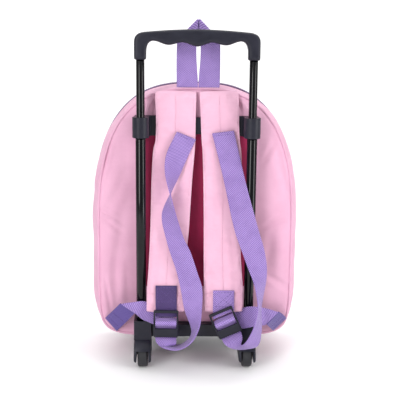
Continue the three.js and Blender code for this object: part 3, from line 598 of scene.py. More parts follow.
def folds(x, y, table):
    """The depth of soft folds, each with a low lip on both sides of its valley."""
    total = np.zeros(np.broadcast(x, y).shape)
    for fold in table:
        angle = math.radians(fold.angle)
        dx, dy = x - fold.x, y - fold.y
        along = dx * math.cos(angle) + dy * math.sin(angle)
        across = dy * math.cos(angle) - dx * math.sin(angle)
        across = across + fold.bend * along ** 2 / fold.length
        reach = np.exp(-(along / fold.length) ** 2)
        valley = np.exp(-(across / fold.width) ** 2)
        lip = 0.55 * np.exp(-((np.abs(across) - 2.1 * fold.width) / (1.2 * fold.width)) ** 2)
        total += fold.depth * reach * (valley - lip)
    return total


# The frame's own rings


def welded(node):
    """A CAD node's points in the bag's frame, without doubles, and its faces."""
    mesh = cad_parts[node].data
    points = local([v.co for v in mesh.vertices])
    _, first, index = np.unique(
        np.round(points, 3), axis=0, return_index=True, return_inverse=True)
    index = index.reshape(-1)
    return points[first], [[index[v] for v in face.vertices] for face in mesh.polygons]


def rings_of(node):
    """The rings of points of a skinned CAD node, in order from one end cap to the other."""
    points, faces = welded(node)
    near = [set() for _ in points]
    for face in faces:
        for one, other in zip(face, face[1:] + face[:1]):
            near[one].add(other)
            near[other].add(one)
    caps = [
        i for i, others in enumerate(near)
        if np.linalg.norm(points[i] - points[list(others)].mean(0)) < 0.01
    ]
    caps.sort(key=lambda i: -points[i][2])
    layer, seen, rings = {caps[0]}, {caps[0]}, []
    while True:
        layer = {n for i in layer for n in near[i]} - seen
        if len(layer) < 2:
            return rings
        seen |= layer
        rings.append(points[sorted(layer)])


def ribbon_edges(node):
    """The two edges of a ribbon in the frame, as two rows of points."""
    edges = []
    for ring in rings_of(node):
        first = ring[0]
        order = np.argsort(np.linalg.norm(ring - first, axis=1))
        near, far = ring[order[:2]].mean(0), ring[order[2:]].mean(0)
        if edges and np.linalg.norm(near - edges[-1][0]) > np.linalg.norm(far - edges[-1][0]):
            near, far = far, near
        edges.append((near, far))
    edges = np.array(edges)
    return edges[:, 0], edges[:, 1]


# The bag's outline


def signed_power(value, power):
    return np.sign(value) * np.abs(value) ** power


def outline(turn):
    """Places and outward directions of the bag's fullest outline, for turns from 0 to 1."""
    angle = np.asarray(turn, float) * 2 * math.pi
    upper = np.sin(angle) >= 0
    rise = np.where(upper, BAG_TOP - WIDEST_HEIGHT, WIDEST_HEIGHT - BAG_BOTTOM)
    power = np.where(upper, UPPER_FULLNESS, LOWER_FULLNESS)
    x = BAG_HALF_WIDTH * signed_power(np.cos(angle), 2 / power)
    z = rise * signed_power(np.sin(angle), 2 / power)
    normal_x = signed_power(x / BAG_HALF_WIDTH, power - 1) / BAG_HALF_WIDTH
    normal_z = signed_power(z / rise, power - 1) / rise
    size = np.hypot(normal_x, normal_z)
    return x, z + WIDEST_HEIGHT, normal_x / size, normal_z / size


def inward(line, inset, y):
    """Points inside an outline's places, at a depth."""
    x, z, normal_x, normal_z = line
    return np.stack([x - normal_x * inset, y + 0 * x, z - normal_z * inset], -1)


def even_turns(count):
    """Turns whose places lie evenly along the outline."""
    fine = np.linspace(0, 1, 4001)
    length = run_of(np.stack(outline(fine)[:2], -1))
    return np.interp(np.arange(count) / count * length[-1], length, fine), length[-1]


def seam_at(normal_z):
    """How far a seam lies inside the fullest outline."""
    return SEAM_INSET + SIDE_SWELL * (1 - np.abs(normal_z))


def taper_at(normal_z, along):
    """How far the top leans in towards the front, for shares of the gusset's depth."""
    return FRONT_TAPER * along ** 1.6 * 0.25 * (1 + normal_z) ** 2


def panel_edge(normal_z, along):
    return seam_at(normal_z) + taper_at(normal_z, along) + CLOTH / 2


def swell_at(along):
    """How far the gusset's swell has grown, for shares of its depth."""
    return np.sin(math.pi * np.clip(along, 0, 1)) ** 0.8


# Folds of the side: x is their turn round the outline, y their depth from the back
SIDE_FOLDS = [
    Fold(0.455, 20, 62, 20, 4.0, 2.0),
    Fold(0.487, 44, 75, 26, 4.5, 1.4),
    Fold(0.535, 26, 96, 30, 4.2, 2.0),
    Fold(0.585, 52, 82, 28, 5.0, 1.5),
    Fold(0.635, 30, 120, 18, 3.6, 2.1),
    Fold(0.060, 30, 100, 26, 4.4, 1.5),
    Fold(0.985, 48, 84, 28, 5.0, 1.4),
    Fold(0.925, 22, 70, 22, 4.0, 1.8),
    Fold(0.870, 40, 55, 18, 3.6, 2.1),
]
PUCKER_REACH = 7.0  # of the seams' puckers
PUCKER_DEPTH = 0.35
LOOSE_DEPTH = 0.45


def gusset_inset(turn, normal_z, along, place, length):
    """How far the gusset lies inside the fullest outline, with its folds and seam puckers."""
    swell = swell_at(along)
    y = along * GUSSET_DEPTH
    total = seam_at(normal_z) * (1 - swell) + taper_at(normal_z, along)
    for fold in SIDE_FOLDS:
        here = np.interp(fold.x, turn[0], place[0])
        away = (place - here + length / 2) % length - length / 2
        total = total + folds(y, away, [fold._replace(x=fold.y, y=0.0)]) * swell ** 0.5
    near_seam = np.exp(-y / PUCKER_REACH) + np.exp(-(GUSSET_DEPTH - y) / PUCKER_REACH)
    pucker = soft_noise(place, 0 * y, 13, 5)
    loose = soft_noise(place, y, 48, 6)
    return total + PUCKER_DEPTH * pucker * near_seam * swell + LOOSE_DEPTH * loose * swell


GUSSET_TURNS = 300
GUSSET_ROWS = 38


def make_gusset(material):
    turns, length = even_turns(GUSSET_TURNS)
    along = np.linspace(0, 1, GUSSET_ROWS)
    turn, depth = np.meshgrid(turns, along)
    place = np.meshgrid(np.arange(GUSSET_TURNS) / GUSSET_TURNS * length, along)[0]
    line = outline(turn)
    inset = gusset_inset(turn, line[3], depth, place, length)
    points = inward(line, inset, GUSSET_BACK + depth * GUSSET_DEPTH)
    faces = [face[::-1] for face in grid_faces(GUSSET_ROWS, GUSSET_TURNS, wrap_cols=True)]
    obj = new_object("gusset_cloth", points.reshape(-1, 3), faces)
    dressed(walled(obj, CLOTH), material, "side_cloth", "gusset")


# Folds of the back panel's pink sides, over x and z
BACK_FOLDS = [
    Fold(-98, 118, 86, 58, 6.0, 2.0, 0.05),
    Fold(-83, 96, 94, 44, 4.6, 1.4),
    Fold(-110, 188, -28, 12, 1.9, 2.0),
    Fold(-105, 177, -38, 16, 2.4, 1.7),
    Fold(-108, 258, 76, 17, 2.2, 1.4),
    Fold(-97, 214, 64, 26, 5.0, 1.0),
    Fold(-108, 84, 98, 22, 2.4, 1.4),
    Fold(96, 178, 22, 20, 3.2, 1.4),
    Fold(101, 104, -32, 18, 3.2, 1.4),
    Fold(92, 140, 82, 46, 6.0, 1.2),
    Fold(106, 236, 104, 30, 4.0, 1.2),
    Fold(86, 262, 60, 16, 3.0, 1.2),
]
# The tucks beside the straps' upper ends
TUCKS = [
    Fold(-50, 322, 68, 13, 3.4, 3.6),
    Fold(51, 322, 112, 13, 3.4, 3.6),
]
# The soft folds of the front panel
FRONT_FOLDS = [
    Fold(-70, 70, 38, 30, 5.0, 1.9),
    Fold(74, 66, 140, 28, 5.0, 1.9),
    Fold(-88, 190, 96, 40, 5.0, 1.5),
    Fold(86, 210, 84, 40, 5.0, 1.5),
    Fold(20, 282, 12, 34, 5.0, 1.4),
    Fold(-20, 58, -6, 40, 5.0, 1.4),
]
PILLOW = 2.0  # how far the back panel's sides stand out
BACK_WALL = 2.4
RIM_TUCK = 1.5  # how deep the panels turn in at their piping
PANEL_INSET = 0.35 * PIPING_RADIUS + GAP  # inside the piping's middle line
PANEL_TURNS = 288
PANEL_RINGS = 56
MIDDLE_REACH = 100.0  # of a panel's middle from its rim


def panel_grid(along):
    """A panel's x, z, shares of the way to its rim, distances from the rim, and faces."""
    line = outline(even_turns(PANEL_TURNS)[0])
    rim_x, _, rim_z = inward(line, panel_edge(line[3], along) + PANEL_INSET, 0).T
    rim_rise = rim_z - WIDEST_HEIGHT
    shares = 1 - (np.arange(PANEL_RINGS)[:, None] / PANEL_RINGS) ** 1.25
    faces = grid_faces(PANEL_RINGS, PANEL_TURNS, wrap_cols=True)
    last = (PANEL_RINGS - 1) * PANEL_TURNS
    middle = PANEL_RINGS * PANEL_TURNS
    faces += [(last + j, last + (j + 1) % PANEL_TURNS, middle) for j in range(PANEL_TURNS)]
    rows = (
        (rim_x * shares, 0),
        (WIDEST_HEIGHT + rim_rise * shares, WIDEST_HEIGHT),
        (shares * np.ones_like(rim_x), 0),
        (np.hypot(rim_x, rim_rise) * (1 - shares), MIDDLE_REACH),
    )
    return [np.append(values.ravel(), at_middle) for values, at_middle in rows] + [faces]


def panel(name, points, faces, way, thickness, material, slot, node):
    """A walled panel, whose outer face looks along y one way, 1 or -1."""
    obj = facing_out(new_object(name, points, faces))
    if obj.data.polygons[0].normal.y * way < 0:
        obj.data.flip_normals()
    return dressed(walled(obj, thickness), material, slot, node)


def rim_tuck(edge):
    """How deep a panel turns in, at a distance from its rim."""
    return RIM_TUCK * np.exp(-edge / 2.2)


def back_depth(x, z, edge):
    """The back panel's depth towards the front, where edge is the distance from its rim."""
    side = smoothstep(np.abs(x), 64, 104)
    window = smoothstep(z, 56, 92) * (1 - smoothstep(z, 296, 330))
    pillow = PILLOW * side * window * smoothstep(edge, 0, 24)
    loose = 0.5 * soft_noise(x, z, 52, 3) * side * smoothstep(edge, 0, 30)
    crease = folds(x, z, BACK_FOLDS) * smoothstep(np.abs(x), 74, 90)
    tuck = folds(x, z, TUCKS) * smoothstep(edge, 2, 9)
    # A low seam ridge along each side of the burgundy painted shade
    seam = 0.5 * np.exp(-((np.abs(x) - PAINTED_SHADE_HALF_WIDTH) / 1.1) ** 2)
    return rim_tuck(edge) - pillow + np.maximum(crease + tuck + loose, -1.6) + seam


def make_back(material):
    x, z, _, edge, faces = panel_grid(0)
    points = np.stack([x, back_depth(x, z, edge), z], -1)
    return panel("back_cloth", points, faces, -1, BACK_WALL, material, "back_cloth", "back_panel")


def make_front(material):
    x, z, share, edge, faces = panel_grid(1)
    dome = CLOTH + FRONT_DOME * (1 - share ** 3)
    loose = 0.9 * soft_noise(x, z, 60, 8) + folds(x, z, FRONT_FOLDS)
    y = GUSSET_FRONT + GAP + dome - loose * smoothstep(edge, 0, 26) - rim_tuck(edge)
    points = np.stack([x, y, z], -1)
    panel("front_cloth", points, faces, 1, CLOTH, material, "pink_cloth", "front_panel")


PIPING_TURNS = 360
PIPING_SIDES = 12


def make_piping(name, y, along, material, slot, node):
    line = outline(even_turns(PIPING_TURNS)[0])
    sections = []
    for k in range(PIPING_SIDES):
        angle = 2 * math.pi * k / PIPING_SIDES
        inset = panel_edge(line[3], along) + PIPING_RADIUS * math.cos(angle)
        sections.append(inward(line, inset, y + PIPING_RADIUS * math.sin(angle)))
    dressed(skin(name, sections, closed=True), material, slot, node)


# The zip

ZIP_STATIONS = (0.62, 0.85)  # shares of the gusset's depth
ZIP_START = 3 / 56  # turns round the outline
ZIP_END = 25 / 56
ZIP_CUTS = 150
ZIP_PROFILE = [(0, 0.5), (0, 1.5), (0.4, 1.8), (0.6, 1.8), (1, 1.5), (1, 0.5)]  # share, height
TOOTH_PITCH = 2.6
TOOTH_HALF = (0.55, 1.6, 0.5)
TOOTH_RADIUS = 0.2
TOOTH_ASIDE = 0.9
TOOTH_FOOT = 1.95


def on_gusset(turn, along, off):
    """Points that stand off the smooth gusset."""
    line = outline(turn)
    inset = seam_at(line[3]) * (1 - swell_at(along)) + taper_at(line[3], along) - off
    return inward(line, inset, GUSSET_BACK + along * GUSSET_DEPTH)


def zip_line(turns, share, off):
    """Points on the zip tape: share runs across it, off is how far they stand out."""
    rear, front = (on_gusset(turns, along, off) for along in ZIP_STATIONS)
    return rear + (front - rear) * share


def block(half):
    """The corners and faces of a box about the origin."""
    corners = np.array([(x, y, z) for x in (-1, 1) for y in (-1, 1) for z in (-1, 1)], float)
    faces = [(0, 1, 3, 2), (4, 6, 7, 5), (0, 4, 5, 1), (2, 3, 7, 6), (0, 2, 6, 4), (1, 5, 7, 3)]
    return corners * np.asarray(half, float), faces


def repeated(name, shape, faces, frames):
    """Copies of a small shape, one for each frame of origin and three directions."""
    verts, all_faces = [], []
    for origin, axes in frames:
        start = len(verts) * len(shape)
        verts.append(origin + shape @ np.asarray(axes))
        all_faces += [tuple(start + i for i in face) for face in faces]
    return new_object(name, np.vstack(verts), all_faces)


def make_zip(tape_material, tooth_material, pull_material):
    turns = np.linspace(ZIP_START, ZIP_END, ZIP_CUTS)
    sections = np.stack([zip_line(turns, share, off) for share, off in ZIP_PROFILE], 1)
    dressed(skin("zip_cloth", sections), tape_material, "zip_tape", "zip_tape")
    line = zip_line(np.linspace(ZIP_START, ZIP_END, 2000), 0.5, TOOTH_FOOT)
    points = along_line(line, np.arange(1, run_of(line)[-1] - 1, TOOTH_PITCH / 2))
    ways = unit(np.gradient(points, axis=0))
    front = np.array([0.0, 1.0, 0.0])
    frames = []
    for index, (point, way) in enumerate(zip(points, ways)):
        out = np.cross(way, front)
        out *= np.sign(out @ (point - (0, point[1], WIDEST_HEIGHT)))
        side = front * (TOOTH_ASIDE if index % 2 else -TOOTH_ASIDE)
        frames.append((point + side + out * 0.35, (way, front, out)))
    teeth = repeated("zip_teeth", *block(TOOTH_HALF), frames)
    bevelled(teeth, TOOTH_RADIUS, 1)
    dressed(applied(teeth), tooth_material, "zip_tape")
    dressed(refined("zip_pull", "zip_slider", 0.7), pull_material, "zip_metal", "zip_slider")


# Rigid pieces

SHARP_EDGE = 28.0  # degrees between two faces, from which their edge is rounded


def bevelled(obj, radius, segments):
    bevel = obj.modifiers.new("round", "BEVEL")
    bevel.width = radius * MM
    bevel.segments = segments
    return bevel


def refined(name, node, radius):
    """A copy of a CAD node with its flat faces whole and its edges rounded."""
    obj = new_object(name, *welded(node))
    reworked(obj.data, lambda work: bmesh.ops.dissolve_limit(
        work, angle_limit=math.radians(1), verts=work.verts, edges=work.edges))
    bevel = bevelled(obj, radius, 3)
    bevel.limit_method = "ANGLE"
    bevel.angle_limit = math.radians(SHARP_EDGE)
    bevel.harden_normals = True
    applied(obj)
    obj.data.shade_smooth()
    return obj


def turned(name, profile, origin, axis="z", steps=64):
    """A closed profile of radius and height, turned about an axis through the origin."""
    angles = np.arange(steps) / steps * 2 * math.pi
    rings = []
    for radius, height in profile:
        across, other = radius * np.cos(angles), radius * np.sin(angles)
        rise = np.full(steps, height)
        order = (across, other, rise) if axis == "z" else (rise, across, other)
        rings.append(np.stack(order, -1) + origin)
    return skin(name, rings, closed=True)


def tube_profile(outer, inner, low, high, edge):
    return [
        (inner, low + edge), (inner + edge, low), (outer - edge, low), (outer, low + edge),
        (outer, high - edge), (outer - edge, high), (inner + edge, high), (inner, high - edge),
    ]


def local_box(node):
    return [local(corner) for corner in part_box(node)]


def make_tubes(material):
    for side, sign in SIGNS:
        place = np.array([sign * TUBE_X, TUBE_Y, 0])
        low, high = local_box(f"tube_{side}")
        profile = tube_profile(TUBE_RADIUS, TUBE_BORE, low[2], high[2], 0.15)
        tube = turned(f"frame_tube_{side}", profile, place)
        dressed(tube, material, "black_tube", f"tube_{side}")
        low, high = local_box(f"rod_{side}")
        profile = tube_profile((high[0] - low[0]) / 2, ROD_BORE, low[2], high[2], 0.3)
        rod = turned(f"handle_rod_{side}", profile, place)
        dressed(rod, material, "black_tube", f"rod_{side}", body="handle")


def make_grip(material):
    grip = fused(new_object("grip", *welded("handle_grip")), 1.0, 14, 0.6)
    dressed(grip, material, "black_plastic", "handle_grip", body="handle")


def make_wheels(material, steel):
    half = WHEEL_WIDTH / 2
    side_line = [
        (WHEEL_BORE, half - 0.3), (2.6, half), (4.6, half), (5.4, half - 1.5), (13, half - 1.5),
        (14, half), (15.6, half), (WHEEL_RADIUS - 0.6, half - 0.35), (WHEEL_RADIUS, half - 1.1),
        (WHEEL_RADIUS, half - 1.5),
    ]
    profile = side_line + [(radius, -x) for radius, x in side_line[::-1]]
    for side, sign in SIGNS:
        place = np.array([sign * WHEEL_X, TUBE_Y, WHEEL_RADIUS])
        wheel = turned(f"wheel_{side}_tyre", profile, place, "x", 72)
        dressed(wheel, material, "wheel_plastic", f"wheel_{side}", body=f"wheel_{side}")
        low, high = local_box(f"axle_{side}")
        ends = (low[0] - place[0], high[0] - place[0])
        pin_line = tube_profile(PIN_RADIUS, PIN_BORE, *ends, 0.3)
        pin = turned(f"axle_{side}_pin", pin_line, place, "x", 32)
        dressed(pin, steel, "axle_steel", f"axle_{side}")


# Names, CAD nodes and edge radii of the moulded pieces
MOULDED = [
    ("bracket", "upper_bracket", 0.6),
    ("base_beam", "base_bar", 0.8),
    ("base_tray", "base_plate", 0.6),
    ("leg_left_housing", "leg_left", 0.5),
    ("leg_right_housing", "leg_right", 0.5),
]


def make_rigid(satin, gloss, steel, wheel):
    make_tubes(gloss)
    make_grip(satin)
    make_wheels(wheel, steel)
    for name, node, radius in MOULDED:
        dressed(refined(name, node, radius), satin, "black_plastic", node)


# Webbing

WEBBING_STEPS = 4  # between two cuts of the frame's ribbon
SELVEDGE_SHARES = [0, 0.012, 0.04, 0.2, 0.35, 0.5, 0.65, 0.8, 0.96, 0.988, 1]
SELVEDGE_LIFTS = [0.35, 0.8, 1, 1, 1, 1, 1, 1, 1, 0.8, 0.35]


def ribbon(name, first, second):
    """A woven band between two edges, with round selvedges and a UV map in its own length."""
    first, second = spline(first, WEBBING_STEPS), spline(second, WEBBING_STEPS)
    middle = (first + second) / 2
    across = second - first
    width = np.linalg.norm(across, axis=1)
    normal = unit(np.cross(across, np.gradient(middle, axis=0)))
    shares = np.array(SELVEDGE_SHARES + SELVEDGE_SHARES[::-1])
    lift = np.array(SELVEDGE_LIFTS) * WEBBING_THICKNESS / 2
    lift = np.concatenate([lift, -lift[::-1]])
    points = (
        first[:, None, :]
        + across[:, None, :] * shares[None, :, None]
        + normal[:, None, :] * lift[None, :, None]
    )
    uvs = np.stack(np.broadcast_arrays(
        shares[None, :] * np.mean(width) / UV_UNIT, run_of(middle)[:, None] / UV_UNIT), -1)
    return skin(name, points, uvs=uvs)


def make_webbing(webbing, dark_webbing, painted_shade_corner_webbing):
    kinds = (
        ("band", "adjuster_band", "adjuster_webbing", "purple_webbing", webbing, webbing),
        # The corner tabs take the darker webbing, painted shade
        ("corner", "corner_anchor", "corner_tab", "dark_webbing", painted_shade_corner_webbing, painted_shade_corner_webbing),
        ("tab", "strap_anchor", "strap_tab", "dark_webbing", dark_webbing, webbing),
    )
    made = {}
    for kind, name, node, slot, *cloths in kinds:
        made[kind] = [
            dressed(ribbon(f"{name}_{side}", *ribbon_edges(f"{node}_{side}")),
                    cloth, slot, f"{node}_{side}")
            for side, cloth in zip(SIDES, cloths)
        ]
    return made


# The carry loop

LOOP_SHIFT = 1.9
LOOP_GAP = 2.6  # half the widest gap between the strands
LOOP_FOLD = 1.1  # radius of the folds at the shoulders
LOOP_LEAN = 0.7  # how far the strands bow
LOOP_CUTS = 9


def loop_strand(sign, base, shoulder, peak):
    """Rows of outer and inner edge from the bag up to a shoulder of the loop."""
    rows = []
    for share in np.linspace(0, 1, LOOP_CUTS):
        opening = LOOP_GAP * float(smoothstep(share, 0.0, 0.9))
        inner = GAP + opening * (1 - share ** 8)
        lean = LOOP_LEAN * math.sin(math.pi * share)
        z = base + share * (shoulder - base)
        rows.append((
            (sign * (WEBBING_WIDTH + 0.5 * lean), -0.9 - lean, z),
            (sign * inner, -0.9 + 0.6 * lean, z + share ** 6 * (peak - shoulder)),
        ))
    return rows


def loop_fold(sign, shoulder, peak):
    """Rows over the fold between a strand and the strip that crosses behind the peak."""
    outer = np.array([sign * WEBBING_WIDTH, 0.1, shoulder])
    inner = np.array([sign * GAP, 0.1, peak])
    away = np.array([sign, 0, 1.0]) * math.sqrt(0.5)
    rows = []
    for angle in np.radians([30, 60, 90, 120, 150]):
        shift = away * LOOP_FOLD * math.sin(angle) + np.array([0, -math.cos(angle), 0])
        rows.append((outer + shift, inner + shift))
    return rows


def make_carry_loop(material):
    """One strip that goes up, folds twice at its peak and comes down beside itself."""
    low, high = local_box("carry_loop")
    base, peak = low[2], high[2]
    shoulder = peak - WEBBING_WIDTH
    crossing = [
        ((sign * WEBBING_WIDTH, 1.1, shoulder), (sign * GAP, 1.1, peak)) for sign in (-1, 1)
    ]
    left, right = (
        loop_strand(sign, base, shoulder, peak) + loop_fold(sign, shoulder, peak)
        for sign in (-1, 1)
    )
    rows = np.array(left + crossing + right[::-1], float) + (LOOP_SHIFT, 0, 0)
    loop = ribbon("carry_strip", rows[:, 0], rows[:, 1])
    dressed(loop, material, "purple_webbing", "carry_loop")


# Shoulder straps

STRAP_CUTS = 120
STRAP_SIDES = 56
STRAP_SHRINK = 0.45  # room that the pressed cloth swells into
STRAP_PRESSURE = 5.0
STRAP_STRETCH = 0.02
STRAP_CAP = 1.5  # how far the cloth may move
CLOTH_FRAMES = 18
CROSS_SEAM = 22.0  # of the straps' lower cross seam above their ends
SEAM_DEPTH = 1.1
GROOVE_DEPTH = 1.3
# Soft folds in the straps' padding, over x and z
STRAP_FOLDS = {
    "left": [
        Fold(-43, 128, 86, 52, 4.2, 1.7),
        Fold(-22, 232, 80, 40, 4.0, 0.8),
        Fold(-40, 212, 100, 30, 5.0, 0.9),
    ],
    "right": [
        Fold(22, 196, 92, 60, 4.4, 0.9),
        Fold(43, 150, 96, 46, 4.2, 1.1),
        Fold(18, 112, 84, 30, 3.6, 0.8),
    ],
}


def strap_rows(side):
    """Heights, both edges and the middle depth of a strap, from its rings in the frame."""
    rings = rings_of(f"shoulder_strap_{side}")
    low = np.array([ring.min(0) for ring in rings])
    high = np.array([ring.max(0) for ring in rings])
    rows = np.stack([
        low[:, 2], low[:, 0], high[:, 0], (low[:, 1] + high[:, 1]) / 2,
    ], -1)
    return rows[np.argsort(-rows[:, 0])]


def strap_grid(side):
    """A strap's points by cut and side, both shares of each side, each cut's run, and the seam's cut."""
    rows = spline(strap_rows(side), 12)
    drop = run_of(rows[:, [0, 3]])
    steps = np.linspace(0, drop[-1], STRAP_CUTS)
    z, low, high, y = (np.interp(steps, drop, rows[:, k]) for k in range(4))
    angle = np.arange(STRAP_SIDES) / STRAP_SIDES * 2 * math.pi
    across = signed_power(np.cos(angle), 0.55)
    out = signed_power(np.sin(angle), 0.42)
    half = (high - low) / 2 - STRAP_SHRINK
    thick = STRAP_THICKNESS / 2 - STRAP_SHRINK
    taper = 0.55 + 0.45 * smoothstep(np.minimum(steps, drop[-1] - steps), 0, 4)
    x = (low + high)[:, None] / 2 + half[:, None] * across[None, :]
    depth = y[:, None] - thick * taper[:, None] * out[None, :]
    slope = np.gradient(y, z)
    height = z[:, None] + (depth - y[:, None]) * -slope[:, None] * 0.5
    seam_row = int(np.argmin(np.abs(steps - (drop[-1] - CROSS_SEAM))))
    return np.stack([x, depth, height], -1), across, out, steps, seam_row


def points_of(mesh):
    co = np.empty(len(mesh.vertices) * 3)
    mesh.vertices.foreach_get("co", co)
    return co.reshape(-1, 3)


def simulated(obj, held):
    """Inflates a closed cloth form whose held points stay, and keeps its result."""
    scene = bpy.context.scene
    group = obj.vertex_groups.new(name="held")
    group.add([int(i) for i in held], 1.0, "REPLACE")
    cloth = obj.modifiers.new("cloth", "CLOTH")
    settings = cloth.settings
    settings.quality = 6
    settings.mass = 0.15
    settings.vertex_group_mass = "held"
    settings.use_pressure = True
    settings.uniform_pressure_force = STRAP_PRESSURE
    settings.effector_weights.gravity = 0
    settings.shrink_min = -STRAP_STRETCH
    settings.bending_stiffness = 0.3
    cloth.point_cache.frame_start = 1
    cloth.point_cache.frame_end = CLOTH_FRAMES
    for number in range(1, CLOTH_FRAMES + 1):
        scene.frame_set(number)
    graph = bpy.context.evaluated_depsgraph_get()
    old = points_of(obj.data)
    shift = points_of(obj.evaluated_get(graph).data) - old
    size = np.linalg.norm(shift, axis=1)[:, None]
    limit = STRAP_CAP * MM
    shift = shift * (limit * np.tanh(size / limit) / np.maximum(size, 1e-9))
    obj.modifiers.clear()
    obj.vertex_groups.clear()
    obj.data.vertices.foreach_set("co", (old + shift).ravel())
    obj.data.update()
    scene.frame_set(1)


def make_strap(side, material):
    """A padded strap: pressed out between its held seams, then grooved along them."""
    points, across, out, steps, seam_row = strap_grid(side)
    obj = skin(f"strap_pad_{side}", points)
    index = np.arange(STRAP_CUTS * STRAP_SIDES).reshape(STRAP_CUTS, STRAP_SIDES)
    middle = np.abs(across) < 0.09
    edge = np.abs(across) > 0.985
    held = set(index[:, middle | edge].ravel()) | set(index[seam_row])
    held |= set(index[:2].ravel()) | set(index[-2:].ravel())
    simulated(obj, sorted(held))
    co = points_of(obj.data)
    place = local(co)
    drop = np.repeat(steps, STRAP_SIDES)
    aside = np.tile(across, STRAP_CUTS)
    face_out = np.tile(out, STRAP_CUTS)
    groove = GROOVE_DEPTH * np.exp(-(aside / 0.05) ** 2)
    groove = groove + SEAM_DEPTH * np.exp(-((drop - steps[seam_row]) / 1.3) ** 2)
    inside = smoothstep(1 - np.abs(aside), 0.0, 0.25)
    groove = groove + folds(place[:, 0], place[:, 2], STRAP_FOLDS[side]) * inside
    co[:, 1] += groove * np.sign(face_out) * np.minimum(np.abs(face_out) * 2, 1) * MM
    obj.data.vertices.foreach_set("co", co.ravel())
    smooth = obj.modifiers.new("finer", "SUBSURF")
    smooth.levels = smooth.render_levels = 1
    applied(obj)
    obj.data.shade_smooth()
    dressed(obj, material, "pink_cloth", f"shoulder_strap_{side}")
    return obj


# Buckles

BUCKLE_LEAN = {"left": 1.0, "right": -24.0}
BUCKLE_WIDTH = 30.0
BUCKLE_HEIGHT = 34.0
BUCKLE_THICKNESS = 3.5
RAIL = 2.0
BUCKLE_BARS = [
    {"top": 0.0, "height": 3.5, "out": 0.0, "thick": 3.5},
    {"top": 14.5, "height": 2.6, "out": 0.1, "thick": 3.2},
    {"top": 23.1, "height": 10.9, "out": 0.2, "thick": 3.6},
]


def rounded_box(name, low, high, radius):
    low, high = np.asarray(low, float), np.asarray(high, float)
    corners, faces = block((high - low) / 2)
    obj = new_object(name, corners + (low + high) / 2, faces)
    bevelled(obj, radius, 4)
    return applied(obj)


def buckle_frame(side):
    """The middle of a buckle's top on its back face, and its across and up directions."""
    angle = math.radians(BUCKLE_LEAN[side])
    up = np.array([math.sin(angle), 0, math.cos(angle)])
    across = np.array([math.cos(angle), 0, -math.sin(angle)])
    points = welded(f"buckle_{side}")[0]
    reach = points @ across
    top = (points @ up).max()
    origin = across * (reach.min() + reach.max()) / 2 + up * top
    origin[1] = points[:, 1].max()
    return origin, across, up


def make_buckle(side, material):
    origin, across, up = buckle_frame(side)
    half = BUCKLE_WIDTH / 2
    parts = [
        rounded_box("bar", (-half + 0.4, -bar["out"] - bar["thick"], -bar["top"] - bar["height"]),
                    (half - 0.4, -bar["out"], -bar["top"]), 1.1)
        for bar in BUCKLE_BARS
    ]
    for sign in (-1, 1):
        outer, inner = sorted((sign * half, sign * (half - RAIL)))
        parts.append(rounded_box(
            "rail", (outer, -BUCKLE_THICKNESS, -BUCKLE_HEIGHT + 1.5), (inner, 0, -0.6), 0.8))
    obj = fused(joined(f"ladder_lock_{side}", parts), 0.4, 3)
    leaned = origin + local(points_of(obj.data)) @ np.array([across, (0, 1, 0), up])
    obj.data.vertices.foreach_set("co", placed(leaned).ravel())
    obj.data.update()
    dressed(obj, material, "black_plastic", f"buckle_{side}")


# Stitches

STITCH_LIFT = 0.12  # of a stitch's middle line over the cloth
TOWARDS = Vector((0, 1, 0))


def tree_of(*objects):
    verts, faces = [], []
    for obj in objects:
        start = len(verts)
        verts += [obj.matrix_world @ v.co for v in obj.data.vertices]
        faces += [[start + i for i in face.vertices] for face in obj.data.polygons]
    return BVHTree.FromPolygons(verts, faces)


def seated(point, tree):
    """A point moved towards the front onto the surface there, and that surface's normal."""
    start = Vector(placed(point)) - TOWARDS * 0.05
    hit, normal, _, _ = tree.ray_cast(start, TOWARDS, 0.12)
    if hit is None:
        return None, None
    normal = normal if normal.dot(TOWARDS) < 0 else -normal
    return local(hit + normal * STITCH_LIFT * MM), np.array(normal)


def stitch_shape():
    """A short thread with round ends along x."""
    rings = [(-1.0, 0.35), (-0.8, 0.85), (0.0, 1.1), (0.8, 0.85), (1.0, 0.35)]
    sides = 6
    shape = []
    for place, size in rings:
        for k in range(sides):
            angle = 2 * math.pi * k / sides
            shape.append((
                place * STITCH_LENGTH / 2,
                size * STITCH_RADIUS * math.cos(angle),
                size * STITCH_RADIUS * math.sin(angle),
            ))
    faces = grid_faces(len(rings), sides, wrap_cols=True)
    faces += [tuple(range(sides))[::-1], tuple(range((len(rings) - 1) * sides, len(rings) * sides))]
    return np.array(shape), faces


def stitch_lines(name, lines, pieces, material, slot):
    """Rows of stitches along lines, seated on the pieces. A stitch that finds none is left out."""
    tree = tree_of(*pieces)
    frames = []
    for line in lines:
        line = np.asarray(line, float)
        starts = np.arange(0.5, run_of(line)[-1] - STITCH_LENGTH, STITCH_PITCH)
        for ends in zip(along_line(line, starts), along_line(line, starts + STITCH_LENGTH)):
            (first, normal), (last, _) = (seated(point, tree) for point in ends)
            if first is None or last is None:
                continue
            if not 0.5 < np.linalg.norm(last - first) / STITCH_LENGTH < 1.6:
                continue
            run = unit(last - first)
            side = unit(np.cross(normal, run))
            frames.append(((first + last) / 2, (run, side, np.cross(run, side))))
    dressed(facing_out(repeated(name, *stitch_shape(), frames)), material, slot)


TAB_STITCH_DROP = 11.0  # of the box stitch's middle under the tab's top
TAB_STITCH_HALF = (10.3, 8.6)
SEAM_ASIDE = 2.0  # of the back's stitches from the edge of the burgundy painted shade
BACK_SEAM_LOW = 58
BACK_SEAM_HIGH = 330


